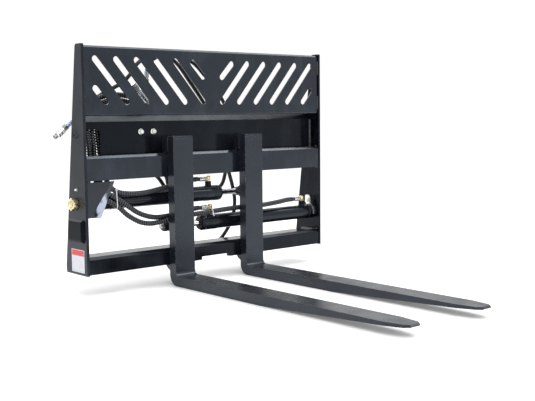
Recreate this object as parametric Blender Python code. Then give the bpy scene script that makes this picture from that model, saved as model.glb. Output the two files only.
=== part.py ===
"""Pallet fork frame with two hydraulically positioned forks, for a loader.

X runs along the width, the forks point along -Y, +Z is up.
Sizes below are millimetres.  The object stands on its fork blades, and its
origin is at the middle of the bottom of its box.
"""
import math

import bmesh
import bpy
import numpy as np
from mathutils import Vector

# ---------------------------------------------------------------- dimensions
GAP = 0.3                      # clearance between separate pieces

FRAME_W = 1288.0               # over the two side plates
SIDE_T = 12.0                  # side plate thickness
HALF_W = FRAME_W / 2
INNER = HALF_W - SIDE_T        # inner face of a side plate
SIDE_Z0, SIDE_Z1 = 84.0, 998.0
SIDE_TOP_Y = 50.0              # depth of a side plate at the top
SIDE_REAR_Y = 169.0            # and near the bottom

FORK_W = 100.0
SHANK_T = 43.0
BLADE_T = 43.0
FORK_TOP = 630.0
BLADE_L = 1250.0               # from the front of the shank to the tip
BLADE_TIP_T = 10.0
TAPER_FROM = 537.0             # underside starts to rise here
TIP_CLIP = 100.0               # length over which the tip narrows
TIP_HALF = 24.0
LEFT_X, RIGHT_X = -199.0, 187.0    # fork centre lines at rest

BAR_Y, BAR_T = 2.6, 22.0       # both fork bars: front face and thickness
UP_Z0, UP_Z1 = 461.0, 560.0
LOW_Z0, LOW_Z1 = 87.5, 158.0
BAR_BEVEL = 11.0
NOTCH_HALF, NOTCH_Z = 76.0, 102.0

PANEL_Y, PANEL_T = 6.0, 5.0
PANEL_Z0, PANEL_Z1 = 717.0, 992.0
PANEL_FLANGE = 36.0
SLOT_R = 13.0
SLOT_PITCH = 96.2

PLATE_Y, PLATE_T = 62.0, 8.0   # quick attach plate, front face and thickness
PLATE_Z0, BEND_Z = 545.0, 693.0
LIP_Z, LIP_REACH = 722.0, 36.0
WINDOW_X0, WINDOW_X1 = -612.0, -534.0
WINDOW_Z = 664.0
BOLT_X = (-339.0, -277.0)
BOLT_Z = 650.0

FLANGE_Z, FLANGE_T = 153.0, 10.0   # lower quick attach plate, top face
FLANGE_Y0, FLANGE_Y1 = 26.0, 128.0
WEDGE_X = 430.0                # wedge pin slots, from the middle

AXIS_Y = 75.0                  # both cylinders
UP_AXIS_Z, LOW_AXIS_Z = 369.0, 241.0
BORE_R, BARREL_R, HEAD_R = 26.0, 33.0, 34.5
ROD_R = 13.0
UP_HEAD_X, LOW_HEAD_X = 81.0, -39.0    # rod ends of the two barrels
HEAD_L = 45.0
STUD_R, NUT_AF = 15.0, 46.0

HOSE_R = 10.0                  # wrapped cylinder hoses
WHIP_R = 8.5                   # plain hoses to the loader

Y_TIP = BAR_Y - 1.6 - SHANK_T - BLADE_L
Y_SHIFT = -(Y_TIP + SIDE_REAR_Y) / 2
SHANK_Y0 = BAR_Y - 1.6 - SHANK_T
SHANK_Y1 = BAR_Y - 1.6


# ---------------------------------------------------------------- materials
def material(name, rgb, rough, metal):
    mat = bpy.data.materials.new(name)
    mat.use_nodes = True
    bsdf = mat.node_tree.nodes["Principled BSDF"]
    bsdf.inputs["Base Color"].default_value = (*rgb, 1.0)
    bsdf.inputs["Roughness"].default_value = rough
    bsdf.inputs["Metallic"].default_value = metal
    return mat


def all_materials():
    return {
        "black": material("black_paint", (0.020, 0.022, 0.026), 0.28, 0.0),
        "fork": material("fork_paint", (0.035, 0.038, 0.045), 0.42, 0.0),
        "zinc": material("zinc_plate", (0.72, 0.71, 0.64), 0.32, 1.0),
        "yellow": material("yellow_zinc", (0.76, 0.62, 0.30), 0.30, 1.0),
        "chrome": material("chrome_rod", (0.80, 0.81, 0.83), 0.08, 1.0),
        "steel": material("plain_steel", (0.42, 0.42, 0.42), 0.40, 1.0),
        "rubber": material("hose_rubber", (0.015, 0.015, 0.016), 0.65, 0.0),
        "decal": material("decal_film", (0.80, 0.80, 0.82), 0.45, 0.0),
        "valve": material("valve_body", (0.55, 0.56, 0.58), 0.38, 1.0),
    }


# ------------------------------------------------------------ mesh helpers
def world(x, y, z):
    return Vector((x, y + Y_SHIFT, z)) * 0.001


def node(name, verts, faces, mat):
    """A named object; verts are in the drawing's millimetres."""
    mesh = bpy.data.meshes.new(name)
    mesh.from_pydata([world(*v) for v in verts], [], faces)
    bm = bmesh.new()
    bm.from_mesh(mesh)
    bmesh.ops.recalc_face_normals(bm, faces=bm.faces)
    bm.to_mesh(mesh)
    bm.free()
    mesh.materials.append(mat)
    obj = bpy.data.objects.new(name, mesh)
    bpy.context.scene.collection.objects.link(obj)
    return obj


def prism(name, outline, axis, lo, hi, mat):
    """Extrude a closed outline along X (y, z), Y (x, z) or Z (x, y)."""
    def place(a, b, c):
        return {"X": (c, a, b), "Y": (a, c, b), "Z": (a, b, c)}[axis]
    n = len(outline)
    verts = [place(a, b, lo) for a, b in outline]
    verts += [place(a, b, hi) for a, b in outline]
    faces = [tuple(range(n)), tuple(range(2 * n - 1, n - 1, -1))]
    faces += [(i, (i + 1) % n, n + (i + 1) % n, n + i) for i in range(n)]
    return node(name, verts, faces, mat)


def box(name, x0, x1, y0, y1, z0, z1, mat):
    outline = [(x0, y0), (x1, y0), (x1, y1), (x0, y1)]
    return prism(name, outline, "Z", z0, z1, mat)


def turn(name, profile, centre, mat, axis="X", seg=22):
    """Turn (along, radius) points about an axis through centre.

    A profile that starts and ends on the axis gives a solid, any other
    closed outline gives a ring.
    """
    def place(a, r, t):
        u, v = r * math.cos(t), r * math.sin(t)
        cx, cy, cz = centre
        return {"X": (a, cy + u, cz + v), "Z": (cx + u, cy + v, a),
                "Y": (cx + u, a, cz + v)}[axis]
    rings, verts, faces = [], [], []
    for a, r in profile:
        if r < 1e-9:
            rings.append([len(verts)])
            verts.append(place(a, 0, 0))
        else:
            rings.append(list(range(len(verts), len(verts) + seg)))
            verts += [place(a, r, 2 * math.pi * i / seg) for i in range(seg)]
    solid = len(rings[0]) == 1 and len(rings[-1]) == 1
    pairs = list(zip(rings[:-1], rings[1:]))
    if not solid:
        pairs.append((rings[-1], rings[0]))
    for p, q in pairs:
        for i in range(seg):
            j = (i + 1) % seg
            if len(p) == 1:
                faces.append((p[0], q[i], q[j]))
            elif len(q) == 1:
                faces.append((p[i], q[0], p[j]))
            else:
                faces.append((p[i], q[i], q[j], p[j]))
    return node(name, verts, faces, mat)


def rod_shape(a0, a1, r, chamfer=1.0):
    c = chamfer
    return [(a0, 0), (a0, r - c), (a0 + c, r), (a1 - c, r), (a1, r - c), (a1, 0)]


def ring_shape(a0, a1, r_in, r_out, chamfer=1.0):
    c = chamfer
    return [(a0, r_in), (a0, r_out - c), (a0 + c, r_out), (a1 - c, r_out),
            (a1, r_out - c), (a1, r_in)]


def hex_outline(cx, cy, flats, turn_by=0.0):
    r = flats / math.sqrt(3)
    steps = [turn_by + math.pi / 3 * i for i in range(6)]
    return [(cx + r * math.cos(t), cy + r * math.sin(t)) for t in steps]


def boolean(obj, tool, operation):
    """Apply one exact boolean and remove the tool."""
    mod = obj.modifiers.new(operation, "BOOLEAN")
    mod.operation = operation
    mod.solver = "EXACT"
    mod.object = tool
    deps = bpy.context.evaluated_depsgraph_get()
    mesh = bpy.data.meshes.new_from_object(obj.evaluated_get(deps))
    obj.modifiers.clear()
    old = obj.data
    obj.data = mesh
    bpy.data.meshes.remove(old)
    spare = tool.data
    bpy.data.objects.remove(tool)
    bpy.data.meshes.remove(spare)
    return obj


def smooth_path(points, per_span):
    """Centripetal curve through hand-set points, sampled evenly per span."""
    pts = [np.array(p, float) for p in points]
    pts = [2 * pts[0] - pts[1]] + pts + [2 * pts[-1] - pts[-2]]
    out = []
    for a, b, c, d in zip(pts[:-3], pts[1:-2], pts[2:-1], pts[3:]):
        t0 = 0.0
        t1 = t0 + np.linalg.norm(b - a) ** 0.5
        t2 = t1 + np.linalg.norm(c - b) ** 0.5
        t3 = t2 + np.linalg.norm(d - c) ** 0.5
        for k in range(per_span):
            t = t1 + (t2 - t1) * k / per_span
            e = (t1 - t) / (t1 - t0) * a + (t - t0) / (t1 - t0) * b
            f = (t2 - t) / (t2 - t1) * b + (t - t1) / (t2 - t1) * c
            g = (t3 - t) / (t3 - t2) * c + (t - t2) / (t3 - t2) * d
            h = (t2 - t) / (t2 - t0) * e + (t - t0) / (t2 - t0) * f
            i = (t3 - t) / (t3 - t1) * f + (t - t1) / (t3 - t1) * g
            out.append((t2 - t) / (t2 - t1) * h + (t - t1) / (t2 - t1) * i)
    out.append(pts[-2])
    return out


def tube(name, points, radius, mat, per_span=5, seg=10):
    """Closed round tube along a smooth path."""
    path = smooth_path(points, per_span)
    tangents = [b - a for a, b in zip(path[:-1], path[1:])]
    tangents = [tangents[0]] + [
        a / np.linalg.norm(a) + b / np.linalg.norm(b)
        for a, b in zip(tangents[:-1], tangents[1:])] + [tangents[-1]]
    side = np.cross(tangents[0], (0.31, 0.87, 0.38))
    verts, faces = [], []
    for p, t in zip(path, tangents):
        t = t / np.linalg.norm(t)
        side = side - t * side.dot(t)
        side = side / np.linalg.norm(side)
        up = np.cross(t, side)
        for i in range(seg):
            w = 2 * math.pi * i / seg
            verts.append(tuple(p + radius * (math.cos(w) * side + math.sin(w) * up)))
    for k in range(len(path) - 1):
        for i in range(seg):
            j = (i + 1) % seg
            faces.append((k * seg + i, k * seg + j, (k + 1) * seg + j, (k + 1) * seg + i))
    last = (len(path) - 1) * seg
    faces.append(tuple(range(seg)))
    faces.append(tuple(range(last + seg - 1, last - 1, -1)))
    return node(name, verts, faces, mat)


def arc(cx, cy, r, a0, a1, steps):
    """Points on an arc, angles in degrees."""
    angles = [math.radians(a0 + (a1 - a0) * i / steps) for i in range(steps + 1)]
    return [(cx + r * math.cos(a), cy + r * math.sin(a)) for a in angles]


def offset_sheet(line, thickness):
    """Closed outline of a bent sheet from its outer line, mitred corners."""
    pts = [np.array(p, float) for p in line]
    inner = []
    for i, p in enumerate(pts):
        before = pts[i] - pts[i - 1] if i else pts[1] - pts[0]
        after = pts[i + 1] - p if i < len(pts) - 1 else p - pts[i - 1]
        n0 = np.array([before[1], -before[0]]) / np.linalg.norm(before)
        n1 = np.array([after[1], -after[0]]) / np.linalg.norm(after)
        m = n0 + n1
        m = m / np.linalg.norm(m)
        inner.append(p + m * thickness / m.dot(n1))
    return [tuple(p) for p in pts] + [tuple(p) for p in reversed(inner)]


# ---------------------------------------------------------------- the frame
def side_plate(name, sign, m):
    x0, x1 = sorted((sign * INNER, sign * HALF_W))
    outline = [(0, SIDE_Z0), (0, SIDE_Z1 - 3), (3, SIDE_Z1), (SIDE_TOP_Y - 7, SIDE_Z1),
               (SIDE_TOP_Y, SIDE_Z1 - 7), (SIDE_REAR_Y, 110), (165, SIDE_Z0)]
    plate = prism(name, outline, "X", x0, x1, m["black"])
    axis_z = UP_AXIS_Z if sign < 0 else LOW_AXIS_Z
    hole = turn("cut", rod_shape(x0 - 5, x1 + 5, STUD_R + GAP), (0, AXIS_Y, axis_z),
                m["black"], seg=24)
    boolean(plate, hole, "DIFFERENCE")
    bolt = turn("cut", rod_shape(x0 - 5, x1 + 5, 5 + GAP), (0, AXIS_Y - 11, axis_z + 57),
                m["black"], seg=16)
    return boolean(plate, bolt, "DIFFERENCE")


def slot_centres():
    """Both ends of each slot of the left half, top first."""
    top, bottom = -580, -437
    slots = [((top + SLOT_PITCH * i, 940), (bottom + SLOT_PITCH * i, 773)) for i in range(5)]
    slots.append(((-581, 825), (-536, 773)))
    slots.append(((-106, 937), (-52, 880)))
    return slots


def guard_panel(m):
    """Front sheet, top and bottom folded back, with slanted slots."""
    r = 12.0
    y, z0, z1 = PANEL_Y, PANEL_Z0, PANEL_Z1
    outer = [(y + PANEL_FLANGE, z0)]
    outer += arc(y + 7, z0 + 7, 7, 270, 180, 5)
    outer += arc(y + r, z1 - r, r, 180, 90, 8)
    outer += [(y + PANEL_FLANGE, z1)]
    outline = offset_sheet(outer, PANEL_T)
    wide = INNER - GAP
    panel = prism("guard_panel", outline, "X", -wide, wide, m["black"])
    verts, faces = [], []
    for (x0, za), (x1, zb) in slot_centres():
        tilt = math.degrees(math.atan2(zb - za, x1 - x0))
        left = arc(x0, za, SLOT_R, tilt + 90, tilt + 270, 8)
        left += arc(x1, zb, SLOT_R, tilt - 90, tilt + 90, 8)
        for outline in (left, [(-x, z) for x, z in left]):
            base, n = len(verts), len(outline)
            verts += [(x, PANEL_Y - 4, z) for x, z in outline]
            verts += [(x, PANEL_Y + PANEL_T + 4, z) for x, z in outline]
            faces.append(tuple(base + i for i in range(n)))
            faces.append(tuple(base + n + i for i in reversed(range(n))))
            faces += [(base + i, base + (i + 1) % n, base + n + (i + 1) % n, base + n + i)
                      for i in range(n)]
    cutter = node("cut", verts, faces, m["black"])
    return boolean(panel, cutter, "DIFFERENCE")


def fork_bars(m):
    wide = INNER - GAP
    y0, y1, b = BAR_Y, BAR_Y + BAR_T, BAR_BEVEL
    upper = [(y0, UP_Z0), (y0, UP_Z1 - b), (y0 + b, UP_Z1), (y1, UP_Z1), (y1, UP_Z0)]
    prism("upper_fork_bar", upper, "X", -wide, wide, m["black"])
    lower = [(y0, LOW_Z0), (y0, LOW_Z1 - b), (y0 + b, LOW_Z1), (y1, LOW_Z1), (y1, LOW_Z0)]
    bar = prism("lower_fork_bar", lower, "X", -wide, wide, m["black"])
    notch = box("cut", -NOTCH_HALF, NOTCH_HALF, y0 - 5, y1 + 5, LOW_Z0 - 5, NOTCH_Z, m["black"])
    boolean(bar, notch, "DIFFERENCE")


def quick_attach(m):
    """Top plate with its hook lip and hose window, and the lower flange."""
    y = PLATE_Y
    rise = LIP_Z - BEND_Z
    line = [(y, PLATE_Z0), (y, BEND_Z), (y + rise, LIP_Z), (y + rise + LIP_REACH, LIP_Z - 26)]
    wide = INNER - GAP
    plate = prism("quick_attach_top_plate", offset_sheet(line, PLATE_T), "X",
                  -wide, wide, m["black"])
    corner = arc(WINDOW_X1 - 16, WINDOW_Z - 16, 16, 0, 90, 4)
    window = [(WINDOW_X0, PLATE_Z0 - 9), (WINDOW_X1, PLATE_Z0 - 9)] + corner
    window += arc(WINDOW_X0 + 16, WINDOW_Z - 16, 16, 90, 180, 4)
    boolean(plate, prism("cut", window, "Y", y - 9, y + PLATE_T + 9, m["black"]), "DIFFERENCE")
    for x in BOLT_X:
        hole = turn("cut", rod_shape(y - 9, y + PLATE_T + 9, 6 + GAP), (x, 0, BOLT_Z),
                    m["black"], "Y", 16)
        boolean(plate, hole, "DIFFERENCE")
    for x0, x1 in ((-640, -216), (545, 640)):
        relief = box("cut", x0, x1, y + rise + 4, y + 90, LIP_Z - 60, LIP_Z + 20, m["black"])
        boolean(plate, relief, "DIFFERENCE")

    z = FLANGE_Z
    line = [(SIDE_REAR_Y - 6, z - 36), (FLANGE_Y1, z), (FLANGE_Y0, z)]
    flange = prism("quick_attach_bottom_plate", offset_sheet(line, -FLANGE_T), "X",
                   -wide, wide, m["black"])
    for x in (-WEDGE_X, WEDGE_X):
        slot = box("cut", x - 33, x + 33, 132, 156, 60, 200, m["black"])
        boolean(flange, slot, "DIFFERENCE")


def hose_guard(m):
    """Bent cover under the upper bar, its slanted edge folded back."""
    x0 = -INNER + GAP
    face = [(x0, 456), (x0, 315), (-601, 315), (-604, 335), (-520, 456)]
    cover = prism("hose_guard", face, "Y", 4, 9, m["black"])
    fold = [(-520, 4, 456), (-604, 4, 335), (-601, 9.6, 313), (-562, 21.5, 310),
            (-514, 11, 431), (-504, 9.4, 456)]
    u, v = Vector(fold[0]) - Vector(fold[1]), Vector(fold[3]) - Vector(fold[1])
    back = v.cross(u).normalized() * 4
    if back.y < 0:
        back = -back
    n = len(fold)
    verts = fold + [tuple(Vector(p) + back) for p in fold]
    faces = [tuple(range(n)), tuple(range(2 * n - 1, n - 1, -1))]
    faces += [(i, (i + 1) % n, n + (i + 1) % n, n + i) for i in range(n)]
    return boolean(cover, node("cut", verts, faces, m["black"]), "UNION")


def side_details(m):
    """Raised covers over the rod openings and the decal."""
    for name, sign, zc in (("rod_cover_left", -1, 262), ("rod_cover_right", 1, 369)):
        x0, x1 = sign * (HALF_W + GAP), sign * (HALF_W + 12)
        y0, y1, z0, z1, c = 13, 131, zc - 47, zc + 47, 9
        verts = [(x0, y0, z0), (x0, y1, z0), (x0, y1, z1), (x0, y0, z1),
                 (x1, y0 + c, z0 + c), (x1, y1 - c, z0 + c),
                 (x1, y1 - c, z1 - c), (x1, y0 + c, z1 - c)]
        faces = [(0, 1, 2, 3), (4, 5, 6, 7), (0, 1, 5, 4), (1, 2, 6, 5), (2, 3, 7, 6), (3, 0, 4, 7)]
        node(name, verts, faces, m["black"])
    x = -HALF_W - GAP
    box("decal_plate", x - 0.8, x, 20, 120, 95, 187, m["decal"])


# ------------------------------------------------------------- the cylinders
def cylinder(tag, base, head, z, m):
    """Barrel, head, base stud and nut; base and head are X stations."""
    d = 1 if head > base else -1
    c = (0, AXIS_Y, z)
    start = base + d * (GAP + 8)
    barrel = turn(tag + "_barrel",
                  [(start, BORE_R), (start, BARREL_R), (head - d * (2 * HEAD_L + 1), BARREL_R),
                   (head - d * 2 * HEAD_L, HEAD_R - 0.5), (head - d * (HEAD_L + GAP), HEAD_R - 0.5),
                   (head - d * (HEAD_L + GAP), BORE_R)], c, m["black"])
    for x in (head - d * 64, base + d * 46):
        boss = turn("cut", rod_shape(z + BORE_R + 3, z + 54, 14), (x, AXIS_Y, 0),
                    m["black"], "Z", 16)
        boolean(barrel, boss, "UNION")
    inner = head - d * (2 * HEAD_L - 4)
    r = ROD_R + GAP
    turn(tag + "_head",
         [(inner, r), (inner, BORE_R - GAP), (head - d * HEAD_L, BORE_R - GAP),
          (head - d * HEAD_L, HEAD_R), (head - d * 11, HEAD_R), (head - d * 3, HEAD_R - 5),
          (head, HEAD_R - 11), (head, r)], c, m["black"])
    face = base + d * GAP
    plug = base + d * 36
    out = base - d * (SIDE_T + 32)
    turn(tag + "_base_stud",
         [(out, 0), (out, STUD_R - 2), (out + d * 2, STUD_R), (face, STUD_R), (face, BARREL_R),
          (start - d * GAP, BARREL_R), (start - d * GAP, BORE_R - GAP), (plug, BORE_R - GAP),
          (plug, 0)], c, m["black"])
    nut = prism(tag + "_base_nut", hex_outline(AXIS_Y, z, NUT_AF, math.pi / 6), "X",
                base - d * (SIDE_T + GAP), base - d * (SIDE_T + 25), m["yellow"])
    hole = turn("cut", rod_shape(-900, 900, STUD_R + GAP), c, m["yellow"], seg=20)
    boolean(nut, hole, "DIFFERENCE")
    return d


def keeper(tag, sign, z, m):
    """Plate that stops the base stud from turning, and its bolt."""
    a, b = sign * (INNER - 9), sign * (INNER - GAP)
    outline = arc(AXIS_Y, z, 47, 192, 122, 8)
    outline += [(53, z + 70), (59, z + 79), (66, z + 81), (82, z + 81), (88, z + 75), (88, z + 48)]
    outline += arc(AXIS_Y, z, 34, 84, 188, 12)
    plate = prism(tag + "_keeper_plate", outline, "X", a, b, m["zinc"])
    y, zb = AXIS_Y - 11, z + 57
    hole = turn("cut", rod_shape(-900, 900, 5 + GAP), (0, y, zb), m["zinc"], seg=16)
    boolean(plate, hole, "DIFFERENCE")
    tip, head = sign * (HALF_W + 9), sign * (INNER - 9 - GAP)
    turn(tag + "_keeper_bolt",
         [(tip, 0), (tip, 4), (tip - sign, 5), (head, 5), (head, 9), (head - sign * 6, 9),
          (head - sign * 7, 8), (head - sign * 7, 0)], (0, y, zb), m["zinc"], seg=16)


def rod_set(tag, sign, fork_x, piston_x, z, m):
    """Rod, piston, lug on the shank and end nut; sign is the outward X side."""
    c = (0, AXIS_Y, z)
    end = fork_x + sign * 44
    turn(tag + "_rod", rod_shape(min(piston_x - 22, end), max(piston_x + 22, end), ROD_R, 2),
         c, m["chrome"])
    turn(tag + "_piston", ring_shape(piston_x - 18, piston_x + 18, ROD_R + GAP, BORE_R - GAP, 2),
         c, m["steel"])
    reach = 30 if sign > 0 else 9
    tip = arc(AXIS_Y, z, 19.5, 110, -110, 9)
    lug = [(SHANK_Y1 + GAP, z - 27), (SHANK_Y1 + GAP, z + reach + 1), (50, z + reach)] + tip
    lug += [(50, z - 24)]
    lug = prism(tag + "_rod_lug", lug, "X", fork_x - 8, fork_x + 8, m["black"])
    hole = turn("cut", rod_shape(-900, 900, ROD_R + GAP), c, m["black"], seg=24)
    boolean(lug, hole, "DIFFERENCE")
    a, b = fork_x + sign * (8 + GAP), fork_x + sign * 31
    mid = fork_x + sign * 17
    r = ROD_R + GAP
    turn(tag + "_rod_nut",
         [(a, r), (a, 21), (mid - sign, 21), (mid, 19.5), (mid + sign, 21), (b - sign * 2, 21),
          (b, 19), (b, r)], c, m["black"], seg=24)


def port_fitting(name, x, z, way, m):
    """Banjo elbow on a barrel port; the hose leaves along way in X."""
    base = z + 54 + GAP
    fitting = turn(name, [(base, 0), (base, 10), (base + 3, 11), (base + 22, 11),
                          (base + 26, 8), (base + 26, 0)], (x, AXIS_Y, 0), m["yellow"], "Z", 12)
    if way == 0:
        sleeve = turn("cut", rod_shape(base + 20, base + 60, 10.8), (x, AXIS_Y, 0),
                      m["yellow"], "Z", 14)
        boolean(fitting, sleeve, "UNION")
        return x, base + 60 + 4 * GAP
    mid = base + 11
    profile = [(x, 0), (x, 7.5), (x + way * 18, 7.5), (x + way * 18, 10.8),
               (x + way * 47, 10.8), (x + way * 47, 0)]
    neck = turn("cut", profile, (0, AXIS_Y, mid), m["yellow"], "X", 14)
    boolean(fitting, neck, "UNION")
    return x + way * (47 + 4 * GAP), mid


# ------------------------------------------------------- valve and hoses
def valve(m):
    y0 = PLATE_Y + PLATE_T + GAP
    outline = [(-372, 596), (-372, 680), (-366, 686), (-252, 686), (-246, 680),
               (-246, 596), (-252, 590), (-366, 590)]
    body = prism("flow_divider_valve", outline, "Y", y0, y0 + 56, m["valve"])
    for x in BOLT_X:
        hole = turn("cut", rod_shape(y0 - 5, y0 + 30, 6 + GAP), (x, 0, BOLT_Z),
                    m["valve"], "Y", 16)
        boolean(body, hole, "DIFFERENCE")
    for k, x in enumerate(BOLT_X):
        y = PLATE_Y - GAP
        turn("valve_bolt_%d" % (k + 1),
             [(y - 11, 0), (y - 11, 8), (y - 9, 9.5), (y - 3, 10.5), (y - 2, 13), (y, 13),
              (y, 6), (y0 + 24, 6), (y0 + 24, 0)], (x, 0, BOLT_Z), m["zinc"], "Y", 20)


def cylinder_hoses(ports, m):
    """Four wrapped hoses, from the valve to the cylinder ports."""
    top = 686 + 3 * GAP
    routes = {
        "hose_upper_base": [(-262, 112, top), (-263, 113, 704), (-271, 121, 736),
                            (-291, 130, 768), (-325, 134, 790), (-375, 131, 801),
                            (-424, 122, 803), (-470, 118, 798), (-515, 118, 782),
                            (-553, 118, 754), (-578, 118, 715), (-587, 117, 672),
                            (-586, 113, 620), (-584, 112, 566), (-586, 103, 520)],
        "hose_lower_base": [(-288, 112, top), (-289, 113, 703), (-300, 120, 730),
                            (-322, 128, 756), (-355, 132, 773), (-395, 130, 780),
                            (-430, 117, 780), (-475, 108, 775), (-515, 107, 759),
                            (-545, 107, 733), (-564, 106, 700), (-571, 100, 655),
                            (-567, 95, 600), (-564, 93, 552), (-560, 76, 512),
                            (-563, 56, 474), (-565, 43, 438), (-556, 37, 408),
                            (-534, 31.5, 382), (-505, 27, 366), (-480, 25, 349),
                            (-446, 24, 318), (-417, 24, 298), (-375, 23, 277),
                            (-332, 21, 268), (-281, 18, 271), (-236, 16, 280),
                            (-150, 15, 287), (-60, 15, 291), (30, 16, 296),
                            (150, 19, 300), (287, 22, 300), (399, 36, 305),
                            (470, 56, 308)],
        "hose_lower_gland": [(-314, 112, top), (-315, 113, 702), (-325, 119, 722),
                             (-350, 126, 743), (-388, 130, 757), (-430, 121, 759),
                             (-478, 109, 752), (-514, 107, 733), (-537, 107, 703),
                             (-548, 100, 658), (-545, 95, 605), (-543, 94, 552),
                             (-538, 80, 500), (-541, 58, 455), (-533, 42, 420),
                             (-508, 30, 396), (-473, 26, 374), (-432, 26, 347),
                             (-391, 26, 320), (-342, 28, 300), (-292, 32, 290),
                             (-235, 38, 290), (-150, 46, 297), (-90, 60, 304)],
        "hose_upper_gland": [(-340, 112, top), (-341, 112, 700), (-350, 115, 716),
                             (-370, 120, 730), (-402, 123, 738), (-440, 117, 738),
                             (-478, 110, 729), (-509, 107, 706), (-525, 99, 664),
                             (-523, 94, 610), (-518, 89, 545), (-512, 68, 484),
                             (-512, 48, 446), (-499, 34, 421), (-471, 27, 406),
                             (-430, 26, 399), (-385, 26, 397), (-339, 27, 399),
                             (-264, 32, 409), (-190, 44, 418), (-120, 62, 427)],
    }
    for name, route in routes.items():
        x, z = ports[name]
        before = (x, AXIS_Y, z + 16) if name == "hose_upper_base" else (x - 34, AXIS_Y, z)
        tube(name, route + [before, (x, AXIS_Y, z)], HOSE_R, m["rubber"], per_span=3, seg=8)


WHIP_A = [(-300, 112, 588), (-299, 112, 566), (-288, 116, 535), (-262, 124, 498),
          (-228, 133, 466), (-190, 142, 432), (-152, 147, 376), (-124, 151, 290),
          (-104, 176, 196), (-70, 190, 136), (-10, 195, 104), (70, 194, 98),
          (146, 190, 120), (196, 178, 172), (214, 150, 240), (206, 122, 320),
          (186, 112, 390), (168, 112, 450), (152, 122, 540), (130, 131, 630),
          (98, 144, 702), (24, 114, 778), (-52, 104, 862), (-112, 101, 930),
          (-150, 99, 957), (-190, 98, 967), (-230, 98, 961), (-260, 99, 941),
          (-274, 99, 916), (-277, 99, 900)]
WHIP_B = [(-262, 108, 588), (-262, 108, 566), (-252, 108, 540), (-229, 109, 512),
          (-200, 110, 482), (-181, 110, 448), (-170, 113, 412), (-142, 121, 380),
          (-90, 130, 364), (0, 130, 360), (60, 127, 364), (102, 122, 378),
          (134, 121, 404), (158, 130, 446), (180, 136, 504), (196, 138, 570),
          (203, 138, 640), (196, 144, 700), (160, 130, 765), (85, 109, 840),
          (23, 102, 896), (-32, 104, 944), (-98, 120, 970), (-190, 127, 976),
          (-258, 126, 965), (-310, 124, 932), (-346, 123, 888), (-382, 124, 855),
          (-426, 130, 831), (-478, 141, 803), (-536, 145, 764), (-583, 142, 723),
          (-612, 138, 697.6)]


def whips(m):
    """Two plain hoses to the loader, with their quick couplers."""
    tube("whip_hose_a", WHIP_A, WHIP_R, m["rubber"], per_span=2, seg=8)
    tube("whip_hose_b", WHIP_B, WHIP_R, m["rubber"], per_span=2, seg=8)


def coupler(name, start, direction, stages, m):
    """Round body along a direction; stages are (length, radius)."""
    d = Vector(direction).normalized()
    side = d.cross(Vector((0, 1, 0))).normalized()
    up = d.cross(side)
    seg, s = 16, 0.0
    profile = [(0.0, 0.0)]
    for length, radius in stages:
        profile += [(s, radius), (s + length, radius)]
        s += length
    profile.append((s, 0.0))
    verts, faces, rings = [], [], []
    for a, r in profile:
        p = Vector(start) + d * a
        if r == 0.0:
            rings.append([len(verts)])
            verts.append(tuple(p))
        else:
            rings.append(list(range(len(verts), len(verts) + seg)))
            for i in range(seg):
                w = 2 * math.pi * i / seg
                verts.append(tuple(p + side * (r * math.cos(w)) + up * (r * math.sin(w))))
    for p, q in zip(rings[:-1], rings[1:]):
        for i in range(seg):
            j = (i + 1) % seg
            if len(p) == 1:
                faces.append((p[0], q[i], q[j]))
            elif len(q) == 1:
                faces.append((p[i], q[0], p[j]))
            else:
                faces.append((p[i], q[i], q[j], p[j]))
    return node(name, verts, faces, m["zinc"])


def couplers(m):
    """Ferrule and coupler on the far end of each whip hose."""
    body = coupler("coupler_a", (-277.2, 99, 899.4), (-0.2, 0, -1), [(30, 10.5), (20, 12.5)], m)
    bend = tube("cut", [(-286, 99, 858), (-282, 99, 828), (-257, 99, 800), (-241, 99, 770),
                        (-243, 99, 746), (-259, 99, 741), (-272, 99, 756)], 8.0, m["zinc"], 4, 10)
    boolean(body, bend, "UNION")
    nose = coupler("cut", (-264, 99, 752), (-82, 0, 95), [(30, 13), (62, 17), (36, 11)], m)
    boolean(body, nose, "UNION")
    coupler("coupler_b", (-612.9, 138, 696.9), (-57, 0, -44),
            [(34, 10.5), (20, 14), (38, 17), (12, 11)], m)


def hose_clamp(m):
    """Saddle on the rear of the top plate that holds both whip hoses."""
    y = PLATE_Y + PLATE_T + GAP
    outline = [(120, y), (232, y), (232, y + 8), (222, y + 42), (130, y + 42), (120, y + 8)]
    prism("whip_hose_rest", outline, "Z", 598, 622, m["black"])


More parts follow.
